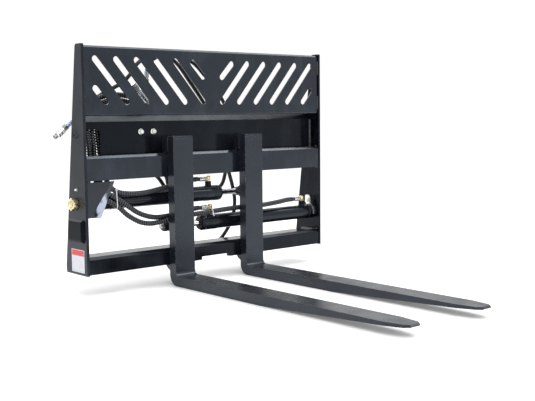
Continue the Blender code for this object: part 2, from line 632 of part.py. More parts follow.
# ------------------------------------------------------------------ the forks
def fork(tag, x, m):
    """L-shaped fork with welded hooks for the two bars."""
    y0, y1 = SHANK_Y0, SHANK_Y1
    r_in, r_out = 18.0, 46.0
    tip_y = y0 - BLADE_L
    outline = [(y1, FORK_TOP), (y0, FORK_TOP)]
    outline += arc(y0 - r_in, BLADE_T + r_in, r_in, 0, -90, 5)
    outline += [(tip_y + 6, BLADE_T), (tip_y, BLADE_T - 4),
                (tip_y, BLADE_T - BLADE_TIP_T + 3), (tip_y + 3, BLADE_T - BLADE_TIP_T)]
    outline += [(y0 - TAPER_FROM, 0)]
    outline += arc(y1 - r_out, r_out, r_out, 270, 360, 7)
    body = prism("fork_" + tag, outline, "X", x - FORK_W / 2, x + FORK_W / 2, m["fork"])
    for s in (-1, 1):
        edge = x + s * FORK_W / 2
        cut = [(edge + s, tip_y + TIP_CLIP), (edge, tip_y + TIP_CLIP),
               (x + s * TIP_HALF * 1.55, tip_y + 22), (x + s * TIP_HALF, tip_y + 4),
               (x + s * TIP_HALF * 0.8, tip_y - 5), (edge + s, tip_y - 5)]
        boolean(body, prism("cut", cut, "Z", -5, BLADE_T + 5, m["fork"]), "DIFFERENCE")
    half = FORK_W / 2
    back = BAR_Y + BAR_T
    hook = [(y1 + GAP, UP_Z1 + 1.5), (back + 1.4, UP_Z1 + 1.5), (back + 1.4, UP_Z1 - 14),
            (back + 17, UP_Z1 - 14), (back + 17, FORK_TOP - 16), (back + 8, FORK_TOP - 6),
            (y1 + GAP, FORK_TOP - 2)]
    prism("upper_hook_" + tag, hook, "X", x - half, x + half, m["fork"])
    low = [(y1 + GAP, 62), (16, 70), (back + 6, 83), (back + 13, 92), (back + 13, 102),
           (back + 1.4, 102), (back + 1.4, LOW_Z0 - 1.5), (y1 + GAP, LOW_Z0 - 1.5)]
    prism("lower_hook_" + tag, low, "X", x - half, x + half, m["fork"])


def main():
    for obj in list(bpy.data.objects):
        bpy.data.objects.remove(obj, do_unlink=True)
    m = all_materials()
    side_plate("side_plate_left", -1, m)
    side_plate("side_plate_right", 1, m)
    guard_panel(m)
    fork_bars(m)
    quick_attach(m)
    hose_guard(m)
    side_details(m)
    cylinder("upper", -INNER, UP_HEAD_X, UP_AXIS_Z, m)
    cylinder("lower", INNER, LOW_HEAD_X, LOW_AXIS_Z, m)
    keeper("upper", -1, UP_AXIS_Z, m)
    keeper("lower", 1, LOW_AXIS_Z, m)
    ports = {
        "hose_upper_gland": port_fitting("upper_gland_fitting", UP_HEAD_X - 64, UP_AXIS_Z, -1, m),
        "hose_upper_base": port_fitting("upper_base_fitting", -INNER + 46, UP_AXIS_Z, 0, m),
        "hose_lower_gland": port_fitting("lower_gland_fitting", LOW_HEAD_X + 64, LOW_AXIS_Z, -1, m),
        "hose_lower_base": port_fitting("lower_base_fitting", INNER - 46, LOW_AXIS_Z, -1, m),
    }
    valve(m)
    cylinder_hoses(ports, m)
    whips(m)
    couplers(m)
    hose_clamp(m)
    fork("left", LEFT_X, m)
    fork("right", RIGHT_X, m)
    rod_set("upper", 1, RIGHT_X, -440, UP_AXIS_Z, m)
    rod_set("lower", -1, LEFT_X, 460, LOW_AXIS_Z, m)


main()
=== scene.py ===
"""Looks of the pallet fork frame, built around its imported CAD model.

Lengths are millimetres measured as in the part's drawing: x from the middle
of the width, y from the front edge of the side plates, z from the floor.
mm() turns such a point into metres.
"""

import math
import random

import bmesh
import bpy
import numpy as np
from mathutils import Euler, Matrix, Vector


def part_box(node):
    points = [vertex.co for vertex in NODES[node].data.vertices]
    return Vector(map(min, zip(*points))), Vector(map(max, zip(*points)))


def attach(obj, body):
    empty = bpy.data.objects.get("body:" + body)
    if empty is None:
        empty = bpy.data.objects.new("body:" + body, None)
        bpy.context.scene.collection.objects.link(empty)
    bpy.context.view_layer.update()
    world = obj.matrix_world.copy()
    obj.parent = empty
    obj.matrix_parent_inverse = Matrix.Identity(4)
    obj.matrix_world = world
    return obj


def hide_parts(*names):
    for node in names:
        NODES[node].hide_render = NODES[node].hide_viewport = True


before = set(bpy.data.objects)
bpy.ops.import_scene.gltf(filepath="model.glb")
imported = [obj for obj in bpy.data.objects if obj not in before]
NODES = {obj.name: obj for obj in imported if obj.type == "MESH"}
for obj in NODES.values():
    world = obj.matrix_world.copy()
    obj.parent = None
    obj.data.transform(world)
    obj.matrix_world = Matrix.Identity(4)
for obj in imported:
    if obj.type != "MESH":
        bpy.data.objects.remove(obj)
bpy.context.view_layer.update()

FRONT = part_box("side_plate_left")[0].y          # y = 0 of the drawing
LEFT_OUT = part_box("side_plate_left")[0].x * 1000
LEFT_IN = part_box("side_plate_left")[1].x * 1000
RIGHT_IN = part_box("side_plate_right")[0].x * 1000
AXIS_Y = (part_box("upper_rod")[0].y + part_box("upper_rod")[1].y) / 2 * 1000 - FRONT * 1000
UP_Z = (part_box("upper_rod")[0].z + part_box("upper_rod")[1].z) * 500
LOW_Z = (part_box("lower_rod")[0].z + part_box("lower_rod")[1].z) * 500

INNER = 632                     # inner face of a side plate
UPPER_HEAD_X, LOWER_HEAD_X = 81, -39    # rod ends of the two barrels
UPPER_PISTON_X, LOWER_PISTON_X = -440, 460
GLAND_PORT, BASE_PORT = 64, 46  # ports, from a barrel's rod end and from its base
LEFT_FORK_X, RIGHT_FORK_X = -199, 187   # fork centre lines at rest
BAR_BACK_Y = 24.6               # rear face of both fork bars
SHANK_BACK_Y = 1.2              # rear face of the fork shanks
BLUISH = (0.78, 0.88, 1.0, 1.0)

random.seed(7)


def mm(x, y, z):
    return Vector((x * 0.001, FRONT + y * 0.001, z * 0.001))


# ------------------------------------------------------------------- camera
FOCAL_LENGTH, SENSOR = 61.08, 36.0              # millimetres
CAMERA_AT = (-2.4316, -2.5747, 0.7202)          # metres
LOOKS_DOWN, TURNED, ROLLED = 5.484, -41.076, -0.612     # degrees


def make_camera():
    """A three-quarter view from the front left, slightly above the forks."""
    data = bpy.data.cameras.new("camera")
    data.lens = FOCAL_LENGTH
    data.sensor_width = SENSOR
    camera = bpy.data.objects.new("camera", data)
    turn = Euler((math.radians(90 - LOOKS_DOWN), 0, math.radians(TURNED)))
    camera.matrix_world = (Matrix.Translation(CAMERA_AT) @ turn.to_matrix().to_4x4()
                           @ Matrix.Rotation(math.radians(ROLLED), 4, "Z"))
    bpy.context.scene.collection.objects.link(camera)
    bpy.context.scene.camera = camera


# ---------------------------------------------------------------- materials
class Shader:
    """Short calls for building one node material."""

    def __init__(self, name):
        self.mat = bpy.data.materials.new(name)
        self.mat.use_nodes = True
        self.tree = self.mat.node_tree
        self.bsdf = self.tree.nodes["Principled BSDF"]
        self.coord = self.tree.nodes.new("ShaderNodeTexCoord").outputs["Object"]

    def set(self, **values):
        for key, value in values.items():
            socket = key.replace("_", " ").title().replace("Ior", "IOR")
            self.bsdf.inputs[socket].default_value = value
        return self

    def link(self, a, b):
        self.tree.links.new(a, b)

    def add(self, kind, **inputs):
        item = self.tree.nodes.new("ShaderNode" + kind)
        for key, value in inputs.items():
            socket = item.inputs[key.replace("_", " ")]
            if hasattr(value, "links"):
                self.link(value, socket)
            else:
                socket.default_value = value
        return item

    def noise(self, scale, detail=3.0, rough=0.55, stretch=None):
        """Noise over the object; scale counts features per metre."""
        source = self.coord
        if stretch:
            source = self.add("Mapping", Vector=self.coord, Scale=stretch).outputs["Vector"]
        item = self.add("TexNoise", Vector=source, Scale=scale, Detail=detail, Roughness=rough)
        return item.outputs["Fac"]

    def span(self, value, lo, hi, to_lo, to_hi):
        item = self.add("MapRange", Value=value, From_Min=lo, From_Max=hi,
                        To_Min=to_lo, To_Max=to_hi)
        return item.outputs["Result"]

    def mix(self, factor, a, b):
        item = self.tree.nodes.new("ShaderNodeMix")
        item.data_type = "RGBA"
        sockets = {s.identifier: s for s in item.inputs}
        pairs = (("Factor_Float", factor), ("A_Color", a), ("B_Color", b))
        for key, value in pairs:
            if hasattr(value, "links"):
                self.link(value, sockets[key])
            elif key == "Factor_Float":
                sockets[key].default_value = value
            else:
                sockets[key].default_value = (*value, 1.0)
        return {s.identifier: s for s in item.outputs}["Result_Color"]

    def math(self, operation, a, b=0.0):
        item = self.tree.nodes.new("ShaderNodeMath")
        item.operation = operation
        for socket, value in ((item.inputs[0], a), (item.inputs[1], b)):
            if hasattr(value, "links"):
                self.link(value, socket)
            else:
                socket.default_value = value
        return item.outputs[0]

    def colour(self, output):
        self.link(output, self.bsdf.inputs["Base Color"])
        return self

    def roughness(self, output):
        self.link(output, self.bsdf.inputs["Roughness"])
        return self

    def bump(self, height, strength, distance):
        item = self.add("Bump", Height=height, Strength=strength, Distance=distance)
        self.link(item.outputs["Normal"], self.bsdf.inputs["Normal"])
        return self

    def normal(self):
        return self.tree.nodes.new("ShaderNodeNewGeometry").outputs["Normal"]

    def along_normal(self, other):
        """Cosine between the surface normal and a direction or a socket."""
        dot = self.tree.nodes.new("ShaderNodeVectorMath")
        dot.operation = "DOT_PRODUCT"
        self.link(self.normal(), dot.inputs[0])
        if hasattr(other, "links"):
            self.link(other, dot.inputs[1])
        else:
            dot.inputs[1].default_value = other
        return dot.outputs["Value"]

    def edges(self, radius):
        """1 along convex and concave edges, 0 on flat faces."""
        bevel = self.tree.nodes.new("ShaderNodeBevel")
        bevel.samples = 4
        bevel.inputs["Radius"].default_value = radius
        return self.span(self.along_normal(bevel.outputs["Normal"]), 0.99, 0.90, 0.0, 1.0)

    def facing_up(self):
        split = self.add("SeparateXYZ", Vector=self.normal())
        return self.span(split.outputs["Z"], 0.5, 0.95, 0.0, 1.0)


def gloss_paint(name, shine, dusty=1.0, depth=1.0):
    """Sprayed gloss black: faint orange peel, smears and a little dust.

    depth below 1 is for faces that stand in the shade of others.
    """
    s = Shader(name)
    s.set(specular_ior_level=shine, specular_tint=(0.74, 0.86, 1.0, 1.0))
    dark = tuple(c * depth for c in (0.0035, 0.0045, 0.0075))
    pale = tuple(c * depth for c in (0.008, 0.0092, 0.0135))
    haze = tuple(c * depth for c in (0.021, 0.025, 0.033))
    tone = s.mix(s.span(s.noise(2.5), 0.35, 0.65, 0.0, 1.0), dark, pale)
    streaks = s.noise(7.0, 5.0, 0.62, (1.0, 1.0, 0.55))
    tone = s.mix(s.span(streaks, 0.48, 0.68, 0.0, 0.75), tone, haze)
    dust = s.span(s.noise(45.0, 6.0, 0.7), 0.45, 0.75, 0.0, 0.35 * dusty)
    dust = s.math("MULTIPLY", s.facing_up(), dust)
    tone = s.mix(dust, tone, (0.10, 0.095, 0.088))
    speck = s.span(s.noise(420.0, 2.0, 0.5), 0.735, 0.76, 0.0, 0.5)
    s.colour(s.mix(speck, tone, (0.20, 0.19, 0.18)))
    s.roughness(s.span(s.noise(6.0, 4.0, 0.6), 0.3, 0.75, 0.10, 0.26))
    return s.bump(s.noise(260.0, 2.0, 0.5), 0.06, 0.0006).mat


def satin_paint():
    """Fork paint: satin black, chipped along the edges and scuffed."""
    s = Shader("satin_fork_paint")
    s.set(specular_tint=BLUISH, specular_ior_level=0.46)
    tone = s.mix(s.span(s.noise(3.0), 0.35, 0.65, 0.0, 1.0), (0.006, 0.0075, 0.012),
                 (0.012, 0.014, 0.020))
    scuff = s.span(s.noise(30.0, 5.0, 0.7, (6.0, 0.5, 1.0)), 0.60, 0.74, 0.0, 1.0)
    scuff = s.math("MULTIPLY", scuff, s.math("MULTIPLY", s.facing_up(), 0.45))
    tone = s.mix(scuff, tone, (0.115, 0.105, 0.098))
    high = s.add("SeparateXYZ", Vector=s.coord).outputs["Z"]
    near_top = s.span(high, 0.575, 0.622, 0.0, 0.085)
    grit = s.math("ADD", s.noise(300.0, 3.0, 0.6), near_top)
    speck = s.span(grit, 0.70, 0.74, 0.0, 0.8)
    tone = s.mix(speck, tone, (0.16, 0.15, 0.14))
    chip = s.span(s.noise(85.0, 5.0, 0.7), 0.52, 0.60, 0.0, 1.0)
    chip = s.math("MULTIPLY", s.edges(0.0022), chip)
    s.colour(s.mix(chip, tone, (0.24, 0.21, 0.19)))
    rough = s.span(s.noise(9.0, 5.0, 0.65), 0.3, 0.75, 0.20, 0.40)
    s.roughness(s.math("ADD", rough, s.math("MULTIPLY", chip, 0.15)))
    return s.bump(s.noise(190.0, 3.0, 0.6), 0.10, 0.0008).mat


FOLD_NORMAL = (0.2775, -0.9412, -0.1926)    # of the hose guard's folded face


def guard_paint():
    """Gloss black, with a painted bluish-white reflection in patches on its folded face."""
    s = Shader("guard_paint_painted_reflection")
    s.set(specular_tint=(0.80, 0.90, 1.0, 1.0))
    tone = s.mix(s.span(s.noise(4.0), 0.35, 0.65, 0.0, 1.0), (0.0060, 0.0070, 0.0100),
                 (0.013, 0.014, 0.018))
    # painted reflection: bluish-white patches on the folded face stand for a light reflected there,
    # not for worn paint
    folded = s.span(s.along_normal(FOLD_NORMAL), 0.985, 0.997, 0.0, 1.0)
    patch = s.span(s.noise(11.0, 2.0, 0.5), 0.44, 0.50, 0.0, 1.0)
    height = s.add("SeparateXYZ", Vector=s.coord).outputs["Z"]
    patch = s.math("MULTIPLY", patch, s.span(height, 0.412, 0.395, 0.0, 1.0))
    painted_reflection = s.math("MULTIPLY", folded, patch)
    s.colour(s.mix(painted_reflection, tone, (0.40, 0.45, 0.56)))
    s.roughness(s.span(s.noise(12.0, 4.0), 0.3, 0.75, 0.12, 0.30))
    return s.bump(s.noise(240.0, 2.0), 0.06, 0.0006).mat


def surface(name, tint, rough, bump, over=None, **sockets):
    """A surface with two tints in patches, uneven gloss and a fine grain.

    Each entry starts with its noise: scale, detail, roughness, stretch.
    tint goes on with the noise values at its two colours, and over with
    those at none and at its full amount of a third colour.
    """
    s = Shader(name)
    s.set(**sockets)
    noise, lo, hi, first, second = tint
    colour = s.mix(s.span(s.noise(*noise), lo, hi, 0.0, 1.0), first, second)
    if over:
        noise, lo, hi, amount, third = over
        colour = s.mix(s.span(s.noise(*noise), lo, hi, 0.0, amount), colour, third)
    s.colour(colour)
    noise, lo, hi = rough
    s.roughness(s.span(s.noise(*noise), 0.3, 0.7, lo, hi))
    noise, strength, distance = bump
    return s.bump(s.noise(*noise), strength, distance).mat


def film(name, rgb):
    """Printed decal film, a little dirty."""
    darker = tuple(c * 0.86 for c in rgb)
    return surface(name, ((50.0, 5.0, 0.7), 0.4, 0.75, rgb, darker),
                   ((70.0, 4.0), 0.28, 0.42), ((300.0, 2.0), 0.03, 0.0002))


def hose_rubber(name, depth=1.0):
    return surface(name,
                   ((40.0, 5.0, 0.7), 0.35, 0.7, (0.008 * depth,) * 3, (0.022 * depth,) * 3),
                   ((60.0, 4.0), 0.38, 0.58), ((1100.0, 2.0), 0.15, 0.0004))


# polished around the rod, and milled along the block
POLISH = (900.0, 1.0, 0.5, (1.0, 0.05, 0.05))
MILLING = (120.0, 3.0, 0.6, (1.0, 1.0, 14.0))

# each look with its material and the record's slot that it belongs to
LOOKS = {
    "black": (gloss_paint("gloss_black_paint", 0.48), "black_paint"),
    "deep": (gloss_paint("shaded_black_paint", 0.16, 0.05, 0.55), "black_paint"),
    "guard": (guard_paint(), "black_paint"),
    "cover": (gloss_paint("cover_paint", 0.06, 0.2, 0.6), "black_paint"),
    "plate": (gloss_paint("side_plate_paint", 0.28, 0.5), "black_paint"),
    "barrel": (gloss_paint("barrel_paint", 0.32, 0.3, 0.8), "black_paint"),
    "weld": (surface(
        "painted_weld", ((90.0, 4.0), 0.0, 1.0, (0.008, 0.008, 0.010), (0.024, 0.024, 0.026)),
        ((140.0, 4.0), 0.18, 0.34), ((420.0, 4.0, 0.7), 0.25, 0.0006)), "black_paint"),
    "fork": (satin_paint(), "fork_paint"),
    "zinc": (surface(
        "bright_zinc", ((35.0, 2.0), 0.35, 0.65, (0.84, 0.83, 0.76), (0.68, 0.72, 0.78)),
        ((90.0, 4.0), 0.20, 0.38), ((700.0, 2.0), 0.05, 0.0003),
        ((160.0, 4.0), 0.55, 0.8, 0.6, (0.42, 0.41, 0.38)), metallic=1.0), "zinc_plate"),
    "ferrule": (surface(
        "ferrule_zinc", ((70.0, 1.0), 0.4, 0.6, (0.72, 0.70, 0.62), (0.42, 0.52, 0.72)),
        ((120.0, 3.0), 0.18, 0.32), ((600.0, 2.0), 0.05, 0.0003),
        ((55.0, 2.0), 0.55, 0.7, 0.7, (0.74, 0.62, 0.40)), metallic=1.0), "zinc_plate"),
    "yellow": (surface(
        "yellow_zinc", ((60.0, 2.0), 0.38, 0.62, (0.84, 0.70, 0.38), (0.78, 0.73, 0.54)),
        ((110.0, 4.0), 0.22, 0.40), ((500.0, 3.0), 0.06, 0.0003),
        ((85.0, 2.0), 0.55, 0.72, 0.7, (0.62, 0.42, 0.30)), metallic=1.0), "yellow_zinc"),
    "chrome": (surface(
        "hard_chrome", ((20.0,), 0.0, 1.0, (0.72, 0.73, 0.75), (0.82, 0.83, 0.85)),
        ((25.0, 5.0), 0.05, 0.12), (POLISH, 0.03, 0.0002), metallic=1.0), "chrome_rod"),
    "steel": (surface(
        "turned_steel", ((60.0,), 0.0, 1.0, (0.34, 0.34, 0.35), (0.48, 0.47, 0.46)),
        ((150.0, 3.0), 0.28, 0.45), ((800.0, 2.0), 0.05, 0.0003), metallic=1.0), "plain_steel"),
    "rubber": (hose_rubber("hose_rubber"), "hose_rubber"),
    "core": (hose_rubber("shaded_hose_rubber", 0.25), "hose_rubber"),
    "wrap": (surface(
        "spiral_wrap_plastic",
        ((30.0, 4.0), 0.35, 0.7, (0.006, 0.0068, 0.0085), (0.012, 0.013, 0.016)),
        ((80.0, 4.0), 0.14, 0.26), ((500.0, 2.0), 0.08, 0.0003),
        specular_tint=(0.85, 0.93, 1.0, 1.0), specular_ior_level=0.9), "hose_rubber"),
    "nylon": (surface(
        "white_nylon", ((120.0, 3.0), 0.0, 1.0, (0.55, 0.57, 0.60), (0.66, 0.68, 0.71)),
        ((200.0, 3.0), 0.32, 0.46), ((900.0, 2.0), 0.08, 0.0002),
        subsurface_weight=0.15, subsurface_scale=0.002), "decal_film"),
    "white": (film("decal_white", (0.60, 0.62, 0.68)), "decal_film"),
    "red": (film("decal_red", (0.62, 0.035, 0.04)), "decal_film"),
    "grey": (film("decal_grey", (0.42, 0.43, 0.46)), "decal_film"),
    "valve": (surface(
        "machined_aluminium", (MILLING, 0.0, 1.0, (0.52, 0.53, 0.54), (0.68, 0.69, 0.70)),
        (MILLING, 0.30, 0.42), (MILLING, 0.05, 0.0003), metallic=1.0), "valve_body"),
}


# ------------------------------------------------------------- mesh helpers
def finish_piece(obj, look, body="frame", replaced=(), smooth=40):
    """Material, body and the hidden CAD nodes that a new piece stands for."""
    material, slot = LOOKS[look]
    obj.data.materials.append(material)
    if smooth:
        obj.data.shade_smooth()
        obj.data.set_sharp_from_angle(angle=math.radians(smooth))
    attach(obj, body)
    if replaced:
        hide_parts(*replaced)
    return obj


def mesh_object(name, verts, faces):
    """An object from vertices in metres, with its faces turned outwards."""
    mesh = bpy.data.meshes.new(name)
    mesh.from_pydata([tuple(v) for v in verts], [], faces)
    bm = bmesh.new()
    bm.from_mesh(mesh)
    bmesh.ops.recalc_face_normals(bm, faces=bm.faces)
    bm.to_mesh(mesh)
    bm.free()
    obj = bpy.data.objects.new(name, mesh)
    bpy.context.scene.collection.objects.link(obj)
    return obj


def soften_edges(obj, width_mm, segments, angle):
    bevel = obj.modifiers.new("soft edges", "BEVEL")
    bevel.width = width_mm * 0.001
    bevel.segments = segments
    bevel.limit_method = "ANGLE"
    bevel.angle_limit = math.radians(angle)


def axes_of(direction):
    d = Vector(direction).normalized()
    helper = Vector((0, 1, 0)) if abs(d.y) < 0.9 else Vector((1, 0, 0))
    side = d.cross(helper).normalized()
    return d, side, d.cross(side)


def rounded(profile, radius, steps=3):
    """Round each inner corner of an (along, radius) profile."""
    out = [profile[0]]
    for before, here, after in zip(profile, profile[1:], profile[2:]):
        a, b, c = (np.array(p, float) for p in (before, here, after))
        u, v = a - b, c - b
        lu, lv = np.linalg.norm(u), np.linalg.norm(v)
        if min(lu, lv) < 1e-6:
            out.append(here)
            continue
        cut = min(radius, lu * 0.45, lv * 0.45)
        p, q = b + u / lu * cut, b + v / lv * cut
        for k in range(steps + 1):
            t = k / steps
            out.append(tuple((1 - t) ** 2 * p + 2 * t * (1 - t) * b + t ** 2 * q))
    return out + [profile[-1]]


def ring_quads(p, q):
    """Quads between two closed rings of vertex numbers."""
    return list(zip(p, q, q[1:] + q[:1], p[1:] + p[:1]))


def tube_faces(count, n):
    """Faces of a closed tube of n-sided rings, numbered from 0 to count."""
    rings = [tuple(range(i * n, i * n + n)) for i in range(count + 1)]
    faces = []
    for p, q in zip(rings, rings[1:]):
        faces += ring_quads(p, q)
    return faces + [rings[0], rings[-1][::-1]]


def lathe_parts(profile, start, direction, seg=48, shape=None):
    """Vertices and faces of a profile turned about a line from start.

    Profile points are (along, radius) in millimetres; shape(angle, along)
    scales the radius, for flats, flutes and knurls.
    """
    d, side, up = axes_of(direction)
    verts, faces, rings = [], [], []
    for a, r in profile:
        centre = Vector(start) + d * (a * 0.001)
        if r < 1e-6:
            rings.append([len(verts)])
            verts.append(centre)
            continue
        rings.append(list(range(len(verts), len(verts) + seg)))
        for i in range(seg):
            w = 2 * math.pi * i / seg
            k = shape(w, a) if shape else 1.0
            verts.append(centre + (side * math.cos(w) + up * math.sin(w)) * (r * k * 0.001))
    pairs = list(zip(rings[:-1], rings[1:]))
    if len(rings[0]) > 1 and len(rings[-1]) > 1:
        pairs.append((rings[-1], rings[0]))
    for p, q in pairs:
        if len(p) > 1 and len(q) > 1:
            faces += ring_quads(p, q)
        elif len(q) > 1:
            faces += [(p[0], a, b) for a, b in zip(q, q[1:] + q[:1])]
        elif len(p) > 1:
            faces += [(a, q[0], b) for a, b in zip(p, p[1:] + p[:1])]
    return verts, faces


def lathe(name, profile, start, direction, look, body, replaced=(), seg=48, soften=0.6,
          shape=None, smooth=35):
    verts, faces = lathe_parts(rounded(profile, soften), start, direction, seg, shape)
    return finish_piece(mesh_object(name, verts, faces), look, body, replaced, smooth)


def hex_body(name, lo, hi, flats, start, direction, look, body, replaced=(), bore=0.0,
             crown=True):
    """A hexagon with chamfered corners, as on a nut or a bolt head."""
    corner = flats / math.sqrt(3)
    rise = (corner - flats / 2) * 0.75
    top = [(hi - rise, corner), (hi, flats / 2 * 0.97)] if crown else [(hi, corner)]
    profile = [(lo, flats / 2 * 0.97), (lo + rise * 0.7, corner)] + top
    if bore > 0.5:
        profile = [(lo, bore)] + profile + [(hi, bore)]
    verts, faces = [], []
    seg = 72
    d, side, up = axes_of(direction)
    step = math.pi / 3
    rings = []
    for a, r in profile:
        rings.append(list(range(len(verts), len(verts) + seg)))
        for i in range(seg):
            w = 2 * math.pi * i / seg
            inside = (w % step) - step / 2
            flat_r = flats / 2 / math.cos(inside)
            radius = min(r, flat_r) if r > bore + 0.01 else r
            verts.append(Vector(start) + d * (a * 0.001)
                         + (side * math.cos(w) + up * math.sin(w)) * (max(radius, 0.01) * 0.001))
    for p, q in zip(rings, rings[1:]):
        faces += ring_quads(p, q)
    if bore > 0.5:
        faces += ring_quads(rings[-1], rings[0])
    else:
        faces += [tuple(rings[0]), tuple(reversed(rings[-1]))]
    return finish_piece(mesh_object(name, verts, faces), look, body, replaced, 28)


def smooth_path(points, per_span):
    """Centripetal curve through the points, sampled evenly in each span."""
    pts = [np.array(p, float) for p in points]
    pts = [2 * pts[0] - pts[1]] + pts + [2 * pts[-1] - pts[-2]]
    out = []
    for a, b, c, d in zip(pts[:-3], pts[1:-2], pts[2:-1], pts[3:]):
        t0 = 0.0
        t1 = t0 + np.linalg.norm(b - a) ** 0.5
        t2 = t1 + np.linalg.norm(c - b) ** 0.5
        t3 = t2 + np.linalg.norm(d - c) ** 0.5
        for k in range(per_span):
            t = t1 + (t2 - t1) * k / per_span
            e = (t1 - t) / (t1 - t0) * a + (t - t0) / (t1 - t0) * b
            f = (t2 - t) / (t2 - t1) * b + (t - t1) / (t2 - t1) * c
            g = (t3 - t) / (t3 - t2) * c + (t - t2) / (t3 - t2) * d
            h = (t2 - t) / (t2 - t0) * e + (t - t0) / (t2 - t0) * f
            i = (t3 - t) / (t3 - t1) * f + (t - t1) / (t3 - t1) * g
            out.append((t2 - t) / (t2 - t1) * h + (t - t1) / (t2 - t1) * i)
    out.append(pts[-2])
    return out


def even_path(points, spacing):
    """The same curve with its samples a fixed distance apart."""
    fine = np.array(smooth_path(points, 24))
    steps = np.linalg.norm(np.diff(fine, axis=0), axis=1)
    along = np.concatenate([[0.0], np.cumsum(steps)])
    count = max(2, int(round(along[-1] / spacing)) + 1)
    where = np.linspace(0.0, along[-1], count)
    return np.stack([np.interp(where, along, fine[:, k]) for k in range(3)], axis=1)


def path_frames(path):
    """Tangent, side and up at each sample, carried along without twist."""
    tangents = np.gradient(path, axis=0)
    tangents /= np.linalg.norm(tangents, axis=1)[:, None]
    side = np.cross(tangents[0], (0.31, 0.87, 0.38))
    sides, ups = [], []
    for t in tangents:
        side = side - t * side.dot(t)
        side = side / np.linalg.norm(side)
        sides.append(side)
        ups.append(np.cross(t, side))
    return tangents, np.array(sides), np.array(ups)


def sweep_parts(path, radius, seg=20):
    """A closed round tube in metres along samples of a path."""
    _, sides, ups = path_frames(path)
    verts = []
    for k, p in enumerate(path):
        for i in range(seg):
            w = 2 * math.pi * i / seg
            verts.append(p + radius * (math.cos(w) * sides[k] + math.sin(w) * ups[k]))
    return verts, tube_faces(len(path) - 1, seg)


def sweep(name, points, radius_mm, look, body, replaced=(), spacing=0.006, seg=20):
    path = even_path(points, spacing)
    verts, faces = sweep_parts(path, radius_mm * 0.001, seg)
    return finish_piece(mesh_object(name, verts, faces), look, body, replaced, 50)


def spiral_wrap(name, points, inner, outer, look, pitch=11.0, width=7.4):
    """A flat ribbon wound around a hose, with a small gap between turns."""
    path = even_path(points, 0.003)
    tangents, sides, ups = path_frames(path)
    steps = np.linalg.norm(np.diff(path, axis=0), axis=1)
    along = np.concatenate([[0.0], np.cumsum(steps)]) * 1000
    per_turn = 16
    ends = 12.0
    count = int((along[-1] - 2 * ends) / pitch * per_turn)
    half = width / 2
    section = [(-half, inner)]
    for k in range(7):
        w = math.pi * k / 6
        section.append((-half * math.cos(w), inner + 0.5 + (outer - inner - 0.5) * math.sin(w)))
    section.append((half, inner))
    verts = []

    def sample(table, s):
        return np.array([np.interp(s, along, table[:, k]) for k in range(3)])
    for i in range(count + 1):
        angle = 2 * math.pi * i / per_turn
        s = ends + pitch * i / per_turn
        side, up = sample(sides, s), sample(ups, s)
        out = side * math.cos(angle) + up * math.sin(angle)
        tangent = sample(tangents, s)
        centre = sample(path, s)
        for a, r in section:
            verts.append(centre + tangent * (a * 0.001) + out * (r * 0.001))
    return finish_piece(mesh_object(name, verts, tube_faces(count, len(section))), look)


def ferrule_profile(length, radius, bore, grooves=5):
    """Crimped sleeve: shallow flutes between a plain end and a collar."""
    out = [(0.0, bore), (0.0, radius * 0.97)]
    pitch = (length - 6.0) / grooves
    for k in range(grooves):
        a = 2.0 + k * pitch
        out += [(a, radius), (a + pitch * 0.62, radius), (a + pitch * 0.74, radius - 0.9),
                (a + pitch * 0.90, radius - 0.9)]
    return out + [(length - 3.0, radius), (length, radius * 0.9), (length, bore)]


def bead(name, a, b, section, size, body, pitch=4.5):
    """A rippled weld bead from a to b in metres.

    section(u) is the offset in millimetres at u from 0 to 1 across it.
    """
    a, b = Vector(a), Vector(b)
    length = (b - a).length * 1000
    direction = (b - a).normalized()
    across, per_ripple = 7, 5
    count = max(8, int(length / pitch * per_ripple))
    rng = random.Random(len(name) * 31 + int(length))
    wander = [rng.uniform(-0.06, 0.06) for _ in range(count // 12 + 3)]
    buried = (section(0.0) + section(1.0)) * -0.15
    verts = []
    for i in range(count + 1):
        t = i / count * length
        w = i / 12
        slow = wander[int(w)] * (1 - w % 1) + wander[int(w) + 1] * (w % 1)
        ending = min(1.0, 0.35 + min(t, length - t) / (size * 0.9))
        for k in range(across):
            u = k / (across - 1)
            bow = 1 - (2 * u - 1) ** 2
            phase = (t + bow * size * 0.45) / pitch
            ripple = 1 + 0.08 * math.sin(2 * math.pi * phase) * bow
            off = section(u) * ((1 + slow) * ending * ripple)
            verts.append(a + direction * (t * 0.001) + off * 0.001)
        verts.append(a + direction * (t * 0.001) + buried * 0.001)
    return finish_piece(mesh_object(name, verts, tube_faces(count, across + 1)), "weld", body,
                        (), 60)


def fillet(name, a, b, n1, n2, size, body):
    """Bead in an inside corner; its two faces run away along n1 and n2."""
    n1, n2 = Vector(n1).normalized(), Vector(n2).normalized()

    def section(u):
        flat = (1 - u) * n1 + u * n2
        bowed = math.cos(u * math.pi / 2) * n1 + math.sin(u * math.pi / 2) * n2
        return (flat * 0.45 + bowed * 0.55) * size
    return bead(name, a, b, section, size, body)


def seam(name, a, b, side, out, size, body):
    """Bead on a flat joint: size wide along side, bulging along out."""
    side, out = Vector(side).normalized(), Vector(out).normalized()

    def section(u):
        w = u * math.pi
        return side * (math.cos(w) * size / 2) + out * (math.sin(w) * size * 0.26 - 0.4)
    return bead(name, a, b, section, size, body)


